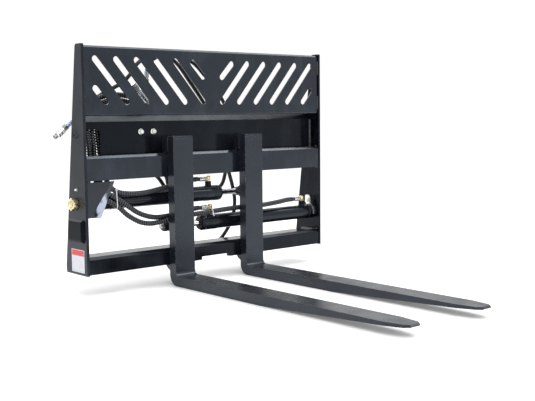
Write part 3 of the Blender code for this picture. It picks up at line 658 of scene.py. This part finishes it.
def hull_loop(circles, grow, seg=24):
    """Convex outline around circles given as (u, v, radius)."""
    pts = []
    for u, v, r in circles:
        for i in range(seg):
            w = 2 * math.pi * i / seg
            pts.append((u + (r + grow) * math.cos(w), v + (r + grow) * math.sin(w)))
    pts = sorted(set((round(x, 4), round(y, 4)) for x, y in pts))

    def half(points):
        chain = []
        for p in points:
            while len(chain) > 1:
                (x0, y0), (x1, y1) = chain[-2], chain[-1]
                if (x1 - x0) * (p[1] - y0) - (y1 - y0) * (p[0] - x0) > 0:
                    break
                chain.pop()
            chain.append(p)
        return chain
    low, high = half(pts), half(pts[::-1])
    return low[:-1] + high[:-1]


def zip_tie(name, centre, direction, across, circles, body, head_to=(-1, 0), tail=26.0):
    """A nylon band around round things, with its ratchet head and cut tail.

    circles are (u, v, radius) in millimetres from the centre, u along
    across and v along direction x across; the head sits on the side of
    head_to.
    """
    d = Vector(direction).normalized()
    u_dir = (Vector(across) - d * Vector(across).dot(d)).normalized()
    v_dir = d.cross(u_dir)
    c = Vector(centre)
    inner = hull_loop(circles, 0.25)
    n = len(inner)
    verts, faces = [], []

    def spot(p, a):
        return c + (u_dir * p[0] + v_dir * p[1] + d * a) * 0.001
    mid = (sum(p[0] for p in inner) / n, sum(p[1] for p in inner) / n)
    band = 1.8
    for p in inner:
        away = Vector((p[0] - mid[0], p[1] - mid[1])).normalized()
        q = (p[0] + away.x * 1.3, p[1] + away.y * 1.3)
        verts += [spot(p, -band), spot(p, band), spot(q, band), spot(q, -band)]
    rings = [tuple(range(i * 4, i * 4 + 4)) for i in range(n)]
    for p, q in zip(rings, rings[1:] + rings[:1]):
        faces += ring_quads(p, q)
    p = max(inner, key=lambda q: q[0] * head_to[0] + q[1] * head_to[1])
    away = Vector((p[0] - mid[0], p[1] - mid[1])).normalized()
    along = Vector((-away.y, away.x))

    def brick(half, corners):
        base = len(verts)
        for a in (-half, half):
            for s, o in corners:
                verts.append(spot((p[0] + along.x * s + away.x * o,
                                   p[1] + along.y * s + away.y * o), a))
        low, high = tuple(range(base, base + 4)), tuple(range(base + 4, base + 8))
        faces.extend([low, high[::-1]] + ring_quads(low, high))
    brick(4.0, ((-3.4, 0.4), (3.4, 0.4), (3.4, 5.4), (-3.4, 5.4)))
    brick(2.0, ((1.2, 5.0), (2.4, 5.0), (5.4, 5.0 + tail), (4.2, 5.0 + tail)))
    obj = mesh_object(name, verts, faces)
    soften_edges(obj, 0.4, 2, 50)
    return finish_piece(obj, "nylon", body, smooth=60)


# ----------------------------------------------------------------- routes
# Hose centre lines, the same points as the CAD hoses follow.  The two loader
# hoses are in metres, the wrapped ones in the drawing's millimetres.
WHIP_A = [
    (-0.3, 0.6735, 0.588), (-0.299, 0.6735, 0.566), (-0.288, 0.6775, 0.535),
    (-0.262, 0.6855, 0.498), (-0.228, 0.6945, 0.466), (-0.19, 0.7035, 0.432),
    (-0.152, 0.7085, 0.376), (-0.124, 0.7125, 0.29), (-0.104, 0.7375, 0.196),
    (-0.07, 0.7515, 0.136), (-0.01, 0.7565, 0.104), (0.07, 0.7555, 0.098), (0.146, 0.7515, 0.12),
    (0.196, 0.7395, 0.172), (0.214, 0.7115, 0.24), (0.206, 0.6835, 0.32), (0.186, 0.6735, 0.39),
    (0.168, 0.6735, 0.45), (0.152, 0.6835, 0.54), (0.13, 0.6925, 0.63), (0.098, 0.7055, 0.702),
    (0.024, 0.6755, 0.778), (-0.052, 0.6655, 0.862), (-0.112, 0.6625, 0.93),
    (-0.15, 0.6605, 0.957), (-0.19, 0.6595, 0.967), (-0.23, 0.6595, 0.961), (-0.26, 0.6605, 0.941),
    (-0.274, 0.6605, 0.916), (-0.277, 0.6605, 0.9)]
WHIP_B = [
    (-0.262, 0.6695, 0.588), (-0.262, 0.6695, 0.566), (-0.252, 0.6695, 0.54),
    (-0.229, 0.6705, 0.512), (-0.2, 0.6715, 0.482), (-0.181, 0.6715, 0.448),
    (-0.17, 0.6745, 0.412), (-0.142, 0.6825, 0.38), (-0.09, 0.6915, 0.364), (0, 0.6915, 0.36),
    (0.06, 0.6885, 0.364), (0.102, 0.6835, 0.378), (0.134, 0.6825, 0.404), (0.158, 0.6915, 0.446),
    (0.18, 0.6975, 0.504), (0.196, 0.6995, 0.57), (0.203, 0.6995, 0.64), (0.196, 0.7055, 0.7),
    (0.16, 0.6915, 0.765), (0.085, 0.6705, 0.84), (0.023, 0.6635, 0.896), (-0.032, 0.6655, 0.944),
    (-0.098, 0.6815, 0.97), (-0.19, 0.6885, 0.976), (-0.258, 0.6875, 0.965),
    (-0.31, 0.6855, 0.932), (-0.346, 0.6845, 0.888), (-0.382, 0.6855, 0.855),
    (-0.426, 0.6915, 0.831), (-0.478, 0.7025, 0.803), (-0.536, 0.7065, 0.764),
    (-0.583, 0.7035, 0.723), (-0.612, 0.6995, 0.6976)]
WRAPPED = {
    "hose_upper_base": [
        (-262, 112, 686.9), (-263, 113, 704), (-271, 121, 736), (-291, 130, 768), (-325, 134, 790),
        (-375, 131, 801), (-424, 122, 803), (-470, 118, 798), (-515, 118, 782), (-553, 118, 754),
        (-578, 118, 715), (-587, 117, 672), (-586, 113, 620), (-584, 112, 566), (-586, 103, 520),
        (-586, 75, 500.5), (-586, 75, 484.5)],
    "hose_lower_base": [
        (-288, 112, 686.9), (-289, 113, 703), (-300, 120, 730), (-322, 128, 756), (-355, 132, 773),
        (-395, 130, 780), (-430, 117, 780), (-475, 108, 775), (-515, 107, 759), (-545, 107, 733),
        (-564, 106, 700), (-571, 100, 655), (-567, 95, 600), (-564, 93, 552), (-560, 76, 512),
        (-563, 56, 474), (-565, 43, 438), (-556, 37, 408), (-534, 31.5, 382), (-505, 27, 366),
        (-480, 25, 349), (-446, 24, 318), (-417, 24, 298), (-375, 23, 277), (-332, 21, 268),
        (-281, 18, 271), (-236, 16, 280), (-150, 15, 287), (-60, 15, 291), (30, 16, 296),
        (150, 19, 300), (287, 22, 300), (399, 36, 305), (470, 56, 308), (503.8, 75, 306.3),
        (537.8, 75, 306.3)],
    "hose_lower_gland": [
        (-314, 112, 686.9), (-315, 113, 702), (-325, 119, 722), (-350, 126, 743), (-388, 130, 757),
        (-430, 121, 759), (-478, 109, 752), (-514, 107, 733), (-537, 107, 703), (-548, 100, 658),
        (-545, 95, 605), (-543, 94, 552), (-538, 80, 500), (-541, 58, 455), (-533, 42, 420),
        (-508, 30, 396), (-473, 26, 374), (-432, 26, 347), (-391, 26, 320), (-342, 28, 300),
        (-292, 32, 290), (-235, 38, 290), (-150, 46, 297), (-90, 60, 304), (-57.2, 75, 306.3),
        (-23.2, 75, 306.3)],
    "hose_upper_gland": [
        (-340, 112, 686.9), (-341, 112, 700), (-350, 115, 716), (-370, 120, 730), (-402, 123, 738),
        (-440, 117, 738), (-478, 110, 729), (-509, 107, 706), (-525, 99, 664), (-523, 94, 610),
        (-518, 89, 545), (-512, 68, 484), (-512, 48, 446), (-499, 34, 421), (-471, 27, 406),
        (-430, 26, 399), (-385, 26, 397), (-339, 27, 399), (-264, 32, 409), (-190, 44, 418),
        (-120, 62, 427), (-65.2, 75, 434.3), (-31.2, 75, 434.3)],
}


# --------------------------------------------------------- whips and couplers
WHIP_A_LENGTH, WHIP_B_LENGTH = 1.92, 1.88
WHIP_DIAMETER = 0.017
CORE_RADIUS, WRAP_INNER, WRAP_OUTER = 8.9, 8.8, 11.4    # of a wrapped hose


def knurl(count, depth):
    """Radius factor of straight knurling."""
    def factor(angle, along):
        return 1.0 - depth * (0.5 + 0.5 * math.cos(angle * count))
    return factor


def quick_coupler(name, start, direction, nut_flats, nose, replaced=()):
    """Hex, knurled release sleeve and open nose of a quick coupler.

    nose lists where the hex starts and where hex, sleeve and tip end, in
    millimetres from start, then the sleeve and tip radii.
    """
    hex_start, hex_end, sleeve_end, tip_end, sleeve_r, tip_r = nose
    parts = [hex_body(name + "_hex", hex_start, hex_end, nut_flats, start, direction, "steel",
                      "frame", replaced)]
    mid = (hex_end + sleeve_end) / 2
    profile = [(hex_end - 0.5, tip_r * 0.8), (hex_end, sleeve_r - 2), (hex_end + 3, sleeve_r),
               (mid - 9, sleeve_r), (mid - 8, sleeve_r - 1.3), (mid - 6, sleeve_r - 1.3),
               (mid - 5, sleeve_r), (mid + 5, sleeve_r), (mid + 6, sleeve_r - 1.3),
               (mid + 8, sleeve_r - 1.3), (mid + 9, sleeve_r), (sleeve_end - 3, sleeve_r),
               (sleeve_end, sleeve_r - 2), (sleeve_end + 0.5, tip_r * 0.8)]
    parts.append(lathe(name + "_sleeve", profile, start, direction, "zinc", "frame", seg=96,
                       shape=knurl(32, 0.018), soften=0.5))
    profile = [(sleeve_end - 2, 0), (sleeve_end - 2, tip_r), (tip_end - 9, tip_r),
               (tip_end - 8, tip_r - 1.4), (tip_end - 5.5, tip_r - 1.4), (tip_end - 4.5, tip_r),
               (tip_end - 1, tip_r), (tip_end, tip_r - 1), (tip_end, tip_r - 3.2),
               (tip_end - 6, tip_r - 3.6), (tip_end - 6, 3.0), (tip_end - 4, 0)]
    parts.append(lathe(name + "_nose", profile, start, direction, "steel", "frame", seg=40,
                       soften=0.3))
    return parts


def hose_ferrule(name, start, direction, length, radius, bore, look="ferrule", body="frame",
                 replaced=(), grooves=5):
    return lathe(name, ferrule_profile(length, radius, bore, grooves), start, direction, look,
                 body, replaced, seg=40, soften=0.35)


def make_whips():
    """Two plain hoses with crimped ends and their quick couplers."""
    for letter, points, length in (("a", WHIP_A, WHIP_A_LENGTH), ("b", WHIP_B, WHIP_B_LENGTH)):
        name = "whip_" + letter
        path = even_path(points, 0.006)
        verts, faces = sweep_parts(path, WHIP_DIAMETER / 2, 24)
        hose = finish_piece(mesh_object(name, verts, faces), "rubber", "frame",
                            ["whip_hose_" + letter], 50)
        start = Vector(points[0])
        down = Vector(points[1]) - start
        ends = [hose_ferrule(name + "_valve_ferrule", start + down.normalized() * 0.001, down, 26.0,
                             10.4, 8.3)]
        if letter == "a":
            begin, way = mm(-277.2, 99, 899.4), Vector((-0.2, 0, -1))
            unit = way.normalized()
            ends.append(hose_ferrule(name + "_far_ferrule", begin - unit * 0.002, way, 32.0,
                                     11.2, 8.3, grooves=6))
            ends.append(hex_body(name + "_swivel_nut", 29.8, 50.2, 25.8, begin, way, "steel",
                                 "frame"))
            nose_at = mm(-264, 99, 752)
            ends += quick_coupler("coupler_a_body", nose_at, (-82, 0, 95), 26.2,
                                  (13, 30, 92, 127.5, 17.6, 11.4))
            dress(["coupler_a"], "zinc", 1.4, 3, 25)
            ends.append(NODES["coupler_a"])
        else:
            begin, way = mm(-612.9, 138, 696.9), Vector((-57, 0, -44))
            unit = way.normalized()
            ends.append(hose_ferrule(name + "_far_ferrule", begin - unit * 0.0015, way, 35.5,
                                     10.5, 8.3, grooves=6))
            ends += quick_coupler("coupler_b_body", begin + unit * 0.034, way, 24.0,
                                  (0.2, 20, 58, 69.5, 16.8, 10.8), ["coupler_b"])


# --------------------------------------------------------- carried-over CAD
def dress(names, look, bevel_mm=0.0, segments=2, angle=32):
    """Material and softened edges on CAD nodes that stay visible."""
    for name in names:
        obj = NODES[name]
        obj.data.materials.clear()
        obj.data.materials.append(LOOKS[look][0])
        joined = obj.modifiers.new("joined corners", "WELD")
        joined.merge_threshold = 0.00001
        if bevel_mm:
            soften_edges(obj, bevel_mm, segments, angle)


def dress_frame():
    dress(["side_plate_left"], "plate", 1.2, 3)
    dress(["side_plate_right"], "deep", 1.2, 3)
    dress(["guard_panel"], "black", 0.8, 2, 40)
    dress(["upper_fork_bar"], "black", 1.4, 3)
    dress(["lower_fork_bar"], "deep", 1.4, 3)
    dress(["quick_attach_top_plate"], "deep", 1.0)
    dress(["quick_attach_bottom_plate"], "black", 1.0)
    dress(["hose_guard"], "guard", 0.9)
    dress(["rod_cover_left", "rod_cover_right"], "cover", 3.0, 4, 20)
    dress(["whip_hose_rest"], "black", 2.0, 3)
    dress(["flow_divider_valve"], "valve", 1.5, 3)
    dress(["fork_left", "fork_right"], "fork", 1.6, 3)
    dress(["upper_hook_left", "upper_hook_right", "lower_hook_left", "lower_hook_right"],
          "fork", 1.5, 3)
    dress(["upper_rod_lug", "lower_rod_lug"], "fork", 1.0, 2)
    dress(["upper_keeper_plate", "lower_keeper_plate"], "zinc", 0.9, 3, 40)
    dress(["upper_piston", "lower_piston"], "steel", 0.4)


# ----------------------------------------------------------------- cylinders
def thread(start, end, radius, pitch=1.5):
    """Profile stations of a cut thread."""
    out, a = [], start
    while a + pitch <= end:
        out += [(a, radius), (a + pitch * 0.35, radius), (a + pitch * 0.6, radius - 0.7),
                (a + pitch * 0.85, radius - 0.7)]
        a += pitch
    return out + [(a, radius)]


def make_cylinder(tag, base, head, z):
    """Everything on one barrel, along X from base to head."""
    d = 1 if head > base else -1
    way = (d, 0, 0)
    at = mm(base, AXIS_Y, z)
    full = abs(head - base)
    end = full - 45.3
    step = full - 91
    profile = [(8.3, 26), (8.3, 32.2), (9.5, 33), (13, 33), (14, 34.6), (17, 35.2), (20, 34.6),
               (21.5, 33), (step - 2, 33), (step, 34), (end - 2, 34), (end, 33.2), (end, 26)]
    lathe(tag + "_tube", profile, at, way, "barrel", "frame", [tag + "_barrel"], seg=72)
    for k, x in enumerate((head - d * GLAND_PORT, base + d * BASE_PORT)):
        boss = [(27.0, 0), (27.0, 17.5), (31.5, 17.2), (34.5, 15.2), (36, 14), (52.5, 14),
                (54, 12.6), (54, 0)]
        lathe(tag + "_port_boss_%d" % (k + 1), boss, mm(x, AXIS_Y, z), (0, 0, 1), "deep",
              "frame", seg=40)
    front = full - 45
    gland = [(front - 41, 13.4), (front - 41, 25.5), (front, 25.7), (front, 33.7),
             (front + 1, 34.5), (front + 9, 34.5), (front + 10, 33.3), (front + 13, 33.3),
             (front + 14, 34.5), (front + 33.5, 34.5), (front + 42, 29.5), (front + 45, 26),
             (front + 45, 21), (front + 42.5, 20), (front + 42.5, 13.4)]
    lathe(tag + "_gland", gland, at, way, "barrel", "frame", [tag + "_head"], seg=72)
    wiper = [(front + 41, 13.3), (front + 41, 19.6), (front + 44, 19.2), (front + 45.5, 16.2),
             (front + 47, 13.8), (front + 46, 13.3)]
    lathe(tag + "_rod_wiper", wiper, at, way, "rubber", "frame", seg=56, soften=0.4)
    for k in range(4):
        w = math.radians(45 + 90 * k)
        y, zz = AXIS_Y + 31.2 * math.cos(w), z + 31.2 * math.sin(w)
        out = (0, math.cos(w), math.sin(w))
        pin = [(0, 0), (0, 3.2), (3.6, 3.2), (3.8, 2.4), (3.0, 2.2), (2.4, 0)]
        lathe(tag + "_spanner_hole_%d" % k, pin, mm(head - d * 24, y, zz), out, "steel", "frame",
              seg=20, soften=0.2)
    plug = [(-36, 0), (-36, 25.5), (-8, 25.6), (-8, 32.6), (-7.2, 33), (-1, 33), (-0.3, 32.4),
            (-0.3, 15), (11.5, 15), (11.5, 0)]
    lathe(tag + "_base_plug", plug, at, (-d, 0, 0), "deep", "frame", [tag + "_base_stud"],
          seg=56, soften=0.3)
    stud = [(11, 0), (11, 15)] + thread(13, 41, 15.0) + [(42.5, 14.4), (44, 12.8), (44, 0)]
    lathe(tag + "_stud_end", stud, at, (-d, 0, 0), "yellow", "frame", seg=56, soften=0.15)
    hex_body(tag + "_nut", 12.4, 37, 46, at, (-d, 0, 0), "yellow", "frame", [tag + "_base_nut"],
             bore=14.6)
    bolt_at = mm(base, AXIS_Y - 11, z + 57)
    hex_body(tag + "_keeper_head", 9.4, 16.2, 15.6, bolt_at, way, "zinc", "frame",
             [tag + "_keeper_bolt"])
    shank = [(-9.4, 0), (-9.4, 5.0)] + thread(-9.0, 19.5, 5.0, 1.2) + [(21, 4), (21, 0)]
    lathe(tag + "_keeper_shank", shank, bolt_at, (-d, 0, 0), "zinc", "frame", seg=28,
          soften=0.1)


def make_rod(tag, sign, fork_x, piston_x, z, body):
    """Chromed rod, its threaded end and the slotted nut beyond the fork."""
    way = (sign, 0, 0)
    start = mm(piston_x - sign * 22, AXIS_Y, z)
    reach = abs(fork_x + sign * 44 - (piston_x - sign * 22))
    near = abs(fork_x - sign * 9 - (piston_x - sign * 22))
    chromed = [(0, 0), (0, 12), (1, 13), (near - 1, 13), (near, 12.4), (near, 0)]
    lathe(tag + "_chromed_rod", chromed, start, way, "chrome", body, [tag + "_rod"], seg=64,
          soften=0.2)
    cut = [(near - 0.5, 0), (near - 0.5, 12.4)] + thread(near + 0.5, reach - 3, 12.9)
    cut += [(reach - 1.5, 11.4), (reach, 10.2), (reach, 0)]
    lathe(tag + "_rod_thread", cut, start, way, "steel", body, seg=48, soften=0.1)
    nut_at = mm(fork_x, AXIS_Y, z)
    nut = [(8.3, 13.2), (8.3, 20.2), (9.2, 21), (15.6, 21), (16.4, 19.4), (17.6, 19.4),
           (18.4, 21), (29.4, 21), (31, 19.0), (31, 13.2)]

    def notches(angle, along):
        return 0.93 if along > 19 and math.cos(angle * 4) > 0.86 else 1.0
    lathe(tag + "_slotted_nut", nut, nut_at, way, "fork", body, [tag + "_rod_nut"], seg=96,
          shape=notches, soften=0.4)


def make_fitting(name, x, z, vertical):
    """Hexagon, banjo body and crimped ferrule at a cylinder port."""
    base = mm(x, AXIS_Y, z + 54)
    hex_body(name + "_hex", 0.2, 9, 21.4, base, (0, 0, 1), "yellow", "frame", [name])
    if vertical:
        body = [(8.8, 0), (8.8, 9.4), (11, 10.4), (17, 10.4), (19, 8.8), (21, 8.8), (21, 0)]
        lathe(name + "_body", body, base, (0, 0, 1), "yellow", "frame", seg=40, soften=0.5)
        hose_ferrule(name + "_ferrule", base + Vector((0, 0, 0.0203)), (0, 0, 1), 42.0, 10.8,
                     8.0, grooves=7)
        return
    body = [(8.8, 0), (8.8, 9.6), (10.5, 11), (20.5, 11), (23.5, 9.4), (25, 6.4), (26, 3.5),
            (26, 0)]
    lathe(name + "_body", body, base, (0, 0, 1), "yellow", "frame", seg=40, soften=0.7)
    neck_at = mm(x, AXIS_Y, z + 54.3 + 11)
    neck = [(6, 0), (6, 7.4), (15, 7.4), (15.4, 8.6), (17.6, 8.6), (18.4, 7.6), (19, 0)]
    lathe(name + "_neck", neck, neck_at, (-1, 0, 0), "yellow", "frame", seg=36, soften=0.4)
    hose_ferrule(name + "_ferrule", neck_at - Vector((0.018, 0, 0)), (-1, 0, 0), 31.0, 10.8,
                 8.0, grooves=5)


# --------------------------------------------------- valve, hoses and fixings
def make_valve():
    """Screws, ports, plugs and cartridges on the flow divider."""
    for k, x in enumerate((-339, -277)):
        at = mm(x, 61.9, 650)
        name = "valve_screw_%d" % (k + 1)
        flange = [(0, 0), (0, 12.4), (0.6, 13), (1.6, 13), (2.6, 11.6), (3.4, 10.6), (3.4, 0)]
        lathe(name + "_flange", flange, at, (0, -1, 0), "zinc", "frame",
              ["valve_bolt_%d" % (k + 1)], seg=48, soften=0.3)
        hex_body(name + "_head", 3.2, 10.9, 17.0, at, (0, -1, 0), "zinc", "frame")
    for k, x in enumerate((-262, -288, -314, -340)):
        at = mm(x, 112, 686)
        name = "valve_outlet_%d" % (k + 1)
        hex_body(name + "_nut", -0.5, 4.0, 21.0, at, (0, 0, 1), "yellow", "frame")
        hose_ferrule(name + "_ferrule", at + Vector((0, 0, 0.0034)), (0, 0, 1), 12.0, 11.2, 8.2,
                     grooves=2)
    for k, (x, y) in enumerate(((-300, 112), (-262, 108))):
        at = mm(x, y, 590.5)
        hex_body("valve_inlet_%d" % (k + 1), 0.0, 4.6, 21.0, at, (0, 0, -1), "yellow", "frame")
    for k, (x, way) in enumerate(((-372, -1), (-246, 1))):
        for j, z in enumerate((612, 664)):
            at = mm(x - way * 0.4, 98, z)
            plug = [(0, 0), (0, 11.5), (0.8, 12), (2.4, 12), (3, 11), (3, 0)]
            name = "valve_plug_%d_%d" % (k + 1, j + 1)
            lathe(name, plug, at, (way, 0, 0), "zinc", "frame", seg=40, soften=0.3)
            hex_body(name + "_hex", 2.8, 8.0, 16.5, at, (way, 0, 0), "zinc", "frame")
    cartridge = [(0, 0), (0, 14), (1, 15), (5, 15), (6, 13.6), (9, 13.6), (10, 12), (15, 12),
                 (16.5, 10.5), (16.5, 4), (14, 3.6), (14, 0)]
    for k, z in enumerate((618, 656)):
        lathe("valve_cartridge_%d" % (k + 1), cartridge, mm(-309, 125.8, z), (0, 1, 0), "steel",
              "frame", seg=48, soften=0.4)


def make_wrapped_hoses():
    """Cylinder hoses: rubber inside, spiral guard around."""
    for name, route in WRAPPED.items():
        points = [mm(*p) for p in route]
        sweep(name + "_core", points, CORE_RADIUS, "core", "frame", [name], spacing=0.008, seg=16)
        spiral_wrap(name + "_guard", points, WRAP_INNER, WRAP_OUTER, "wrap")


def make_rest_screws():
    for k, x in enumerate((140, 212)):
        at = mm(x, 112.2, 610)
        washer = [(0, 0), (0, 9.4), (0.5, 10), (1.6, 10), (2, 9.6), (2, 0)]
        lathe("rest_washer_%d" % (k + 1), washer, at, (0, 1, 0), "zinc", "frame", seg=36,
              soften=0.2)
        hex_body("rest_screw_%d" % (k + 1), 1.9, 8.4, 13.0, at, (0, 1, 0), "zinc", "frame")


def make_zip_ties():
    """One tie around barrel and hoses, one around a hose on the lower barrel."""
    level = 300

    def tie(name, x, circles, **more):
        placed = [(y - AXIS_Y, z - level, r) for y, z, r in circles]
        zip_tie(name, mm(x, AXIS_Y, level), (1, 0, 0), (0, 1, 0), placed, "frame", **more)
    tie("tie_upper", -490, [(75, 369, 33.6), (30, 409, 11), (28, 385, 11), (25.6, 353, 11)],
        head_to=(-1, 0.9), tail=7.0)
    tie("tie_middle", -12, [(15.6, 293.2, 11.2)], head_to=(-1, -0.6), tail=9.0)


def slab(name, x0, x1, y0, y1, z0, z1, corner, look):
    """Thin film on the left plate with rounded corners."""
    outline = []
    for cy, cz, a0 in ((y1 - corner, z1 - corner, 0), (y0 + corner, z1 - corner, 90),
                       (y0 + corner, z0 + corner, 180), (y1 - corner, z0 + corner, 270)):
        for i in range(7):
            w = math.radians(a0 + 15 * i)
            outline.append((cy + corner * math.cos(w), cz + corner * math.sin(w)))
    n = len(outline)
    verts = [mm(x, y, z) for x in (x0, x1) for y, z in outline]
    return finish_piece(mesh_object(name, verts, tube_faces(1, n)), look, "frame", smooth=40)


def make_decal():
    """Letter-free two-colour decal on the left side plate."""
    outer = LEFT_OUT - 1.1
    white = slab("decal_field", outer, LEFT_OUT - 0.1, 20, 120, 95, 187, 4.0, "white")
    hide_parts("decal_plate")
    slab("decal_band", outer - 0.15, outer, 22.5, 117.5, 162, 184.5, 2.5, "red")
    slab("decal_line", outer - 0.12, outer, 26, 114, 99.5, 101.5, 0.8, "grey")


def make_welds():
    """Beads where bars, plates and panel meet the side plates, and on the forks."""
    for side, x, name in ((1, LEFT_IN, "left"), (-1, RIGHT_IN, "right")):
        inward = (side, 0, 0)
        ahead, up, down, back = (0, -1, 0), (0, 0, 1), (0, 0, -1), (0, 1, 0)
        spots = (
            ("upper_bar_top", (x, 12, 560), (x, BAR_BACK_Y, 560), inward, up, 6.5),
            ("upper_bar_under", (x, 4, 461), (x, BAR_BACK_Y, 461), inward, down, 6.0),
            ("upper_bar_back", (x, BAR_BACK_Y, 463), (x, BAR_BACK_Y, 558), inward, back, 6.5),
            ("lower_bar_top", (x, 12, 158), (x, BAR_BACK_Y, 158), inward, up, 6.5),
            ("lower_bar_back", (x, BAR_BACK_Y, 89), (x, BAR_BACK_Y, 140), inward, back, 6.0),
            ("bottom_plate", (x, 27, 153), (x, 127, 153), inward, up, 8.0),
            ("top_plate", (x, 62, 547), (x, 62, 692), inward, ahead, 7.0),
            ("top_plate_rear", (x, 70, 547), (x, 70, 688), inward, back, 6.0),
            ("panel_lower", (x, 6, 738), (x, 6, 800), inward, ahead, 4.0),
            ("panel_upper", (x, 6, 900), (x, 6, 965), inward, ahead, 4.0),
            ("panel_rear", (x, 11, 730), (x, 11, 975), inward, back, 5.0),
        )
        for part, a, b, n1, n2, size in spots:
            fillet("weld_%s_%s" % (part, name), mm(*a), mm(*b), n1, n2, size, "frame")
    for k in range(5):
        x = -520 + k * 240
        fillet("weld_lower_bar_%d" % k, mm(x, BAR_BACK_Y, 153), mm(x + 95, BAR_BACK_Y, 153),
               (0, 1, 0), (0, 0, 1), 5.0, "frame")
    for body, x, low, high in (("left_fork", LEFT_FORK_X, 217, 248),
                               ("right_fork", RIGHT_FORK_X, 345, 396)):
        for s in (-1, 1):
            tag = "%s_%s" % (body, "left" if s < 0 else "right")
            lug, edge = x + s * 8, x + s * 49.6
            fillet("weld_lug_" + tag, mm(lug, SHANK_BACK_Y, low), mm(lug, SHANK_BACK_Y, high),
                   (s, 0, 0), (0, 1, 0), 6.0, body)
            for part, z0, z1, size in (("weld_hook_", 564, 626, 7.0),
                                       ("weld_low_hook_", 64, 84, 6.0)):
                seam(part + tag, mm(edge, SHANK_BACK_Y, z0), mm(edge, SHANK_BACK_Y, z1),
                     (0, 1, 0), (s, 0, 0), size, body)
        seam("weld_hook_top_" + body, mm(x - 46, 1.4, 627.6), mm(x + 46, 1.4, 627.6), (0, 1, 0.6),
             (0, 0.5, 1), 7.0, body)


# -------------------------------------------------------------------- studio
def studio():
    """Pale floor, even surroundings and soft boxes overhead."""
    world = bpy.data.worlds.new("studio")
    bpy.context.scene.world = world
    world.use_nodes = True
    sky = world.node_tree.nodes["Background"]
    sky.inputs["Color"].default_value = (1.0, 1.0, 1.0, 1.0)
    sky.inputs["Strength"].default_value = 1.0
    mesh = bpy.data.meshes.new("floor")
    r = 60.0
    mesh.from_pydata([(-r, -r, 0), (r, -r, 0), (r, r, 0), (-r, r, 0)], [], [(0, 1, 2, 3)])
    floor = bpy.data.objects.new("floor", mesh)
    floor.location.z = -0.0006      # just under the forks' soles
    bpy.context.scene.collection.objects.link(floor)
    s = Shader("pale_floor")
    s.set(roughness=0.7, specular_ior_level=0.2, emission_color=(1.0, 1.0, 1.0, 1.0),
          emission_strength=0.14)
    s.colour(s.mix(s.noise(0.8), (0.90, 0.90, 0.90), (0.93, 0.93, 0.93)))
    mesh.materials.append(s.mat)
    for name, place, target, size, power in (
            ("key", (-1.4, -3.2, 4.2), (0, 0, 0.3), 2.6, 70.0),
            ("top", (1.7, -0.3, 3.3), (0, 0.4, 0.4), 2.2, 75.0),
            ("rear", (-0.5, 3.4, 3.2), (0, 0.2, 0.5), 2.4, 60.0)):
        data = bpy.data.lights.new(name, "AREA")
        data.shape = "SQUARE"
        data.size = size
        data.energy = power
        lamp = bpy.data.objects.new(name, data)
        lamp.location = place
        aim = Vector(target) - Vector(place)
        lamp.rotation_euler = aim.to_track_quat("-Z", "Y").to_euler()
        bpy.context.scene.collection.objects.link(lamp)


def main():
    bpy.context.scene.view_settings.view_transform = "Standard"
    make_camera()
    make_whips()
    dress_frame()
    make_cylinder("upper", -INNER, UPPER_HEAD_X, UP_Z)
    make_cylinder("lower", INNER, LOWER_HEAD_X, LOW_Z)
    make_rod("upper", 1, RIGHT_FORK_X, UPPER_PISTON_X, UP_Z, "right_fork")
    make_rod("lower", -1, LEFT_FORK_X, LOWER_PISTON_X, LOW_Z, "left_fork")
    make_fitting("upper_gland_fitting", UPPER_HEAD_X - GLAND_PORT, UP_Z, False)
    make_fitting("upper_base_fitting", -INNER + BASE_PORT, UP_Z, True)
    make_fitting("lower_gland_fitting", LOWER_HEAD_X + GLAND_PORT, LOW_Z, False)
    make_fitting("lower_base_fitting", INNER - BASE_PORT, LOW_Z, False)
    make_valve()
    make_wrapped_hoses()
    make_rest_screws()
    make_zip_ties()
    make_decal()
    make_welds()
    studio()


main()
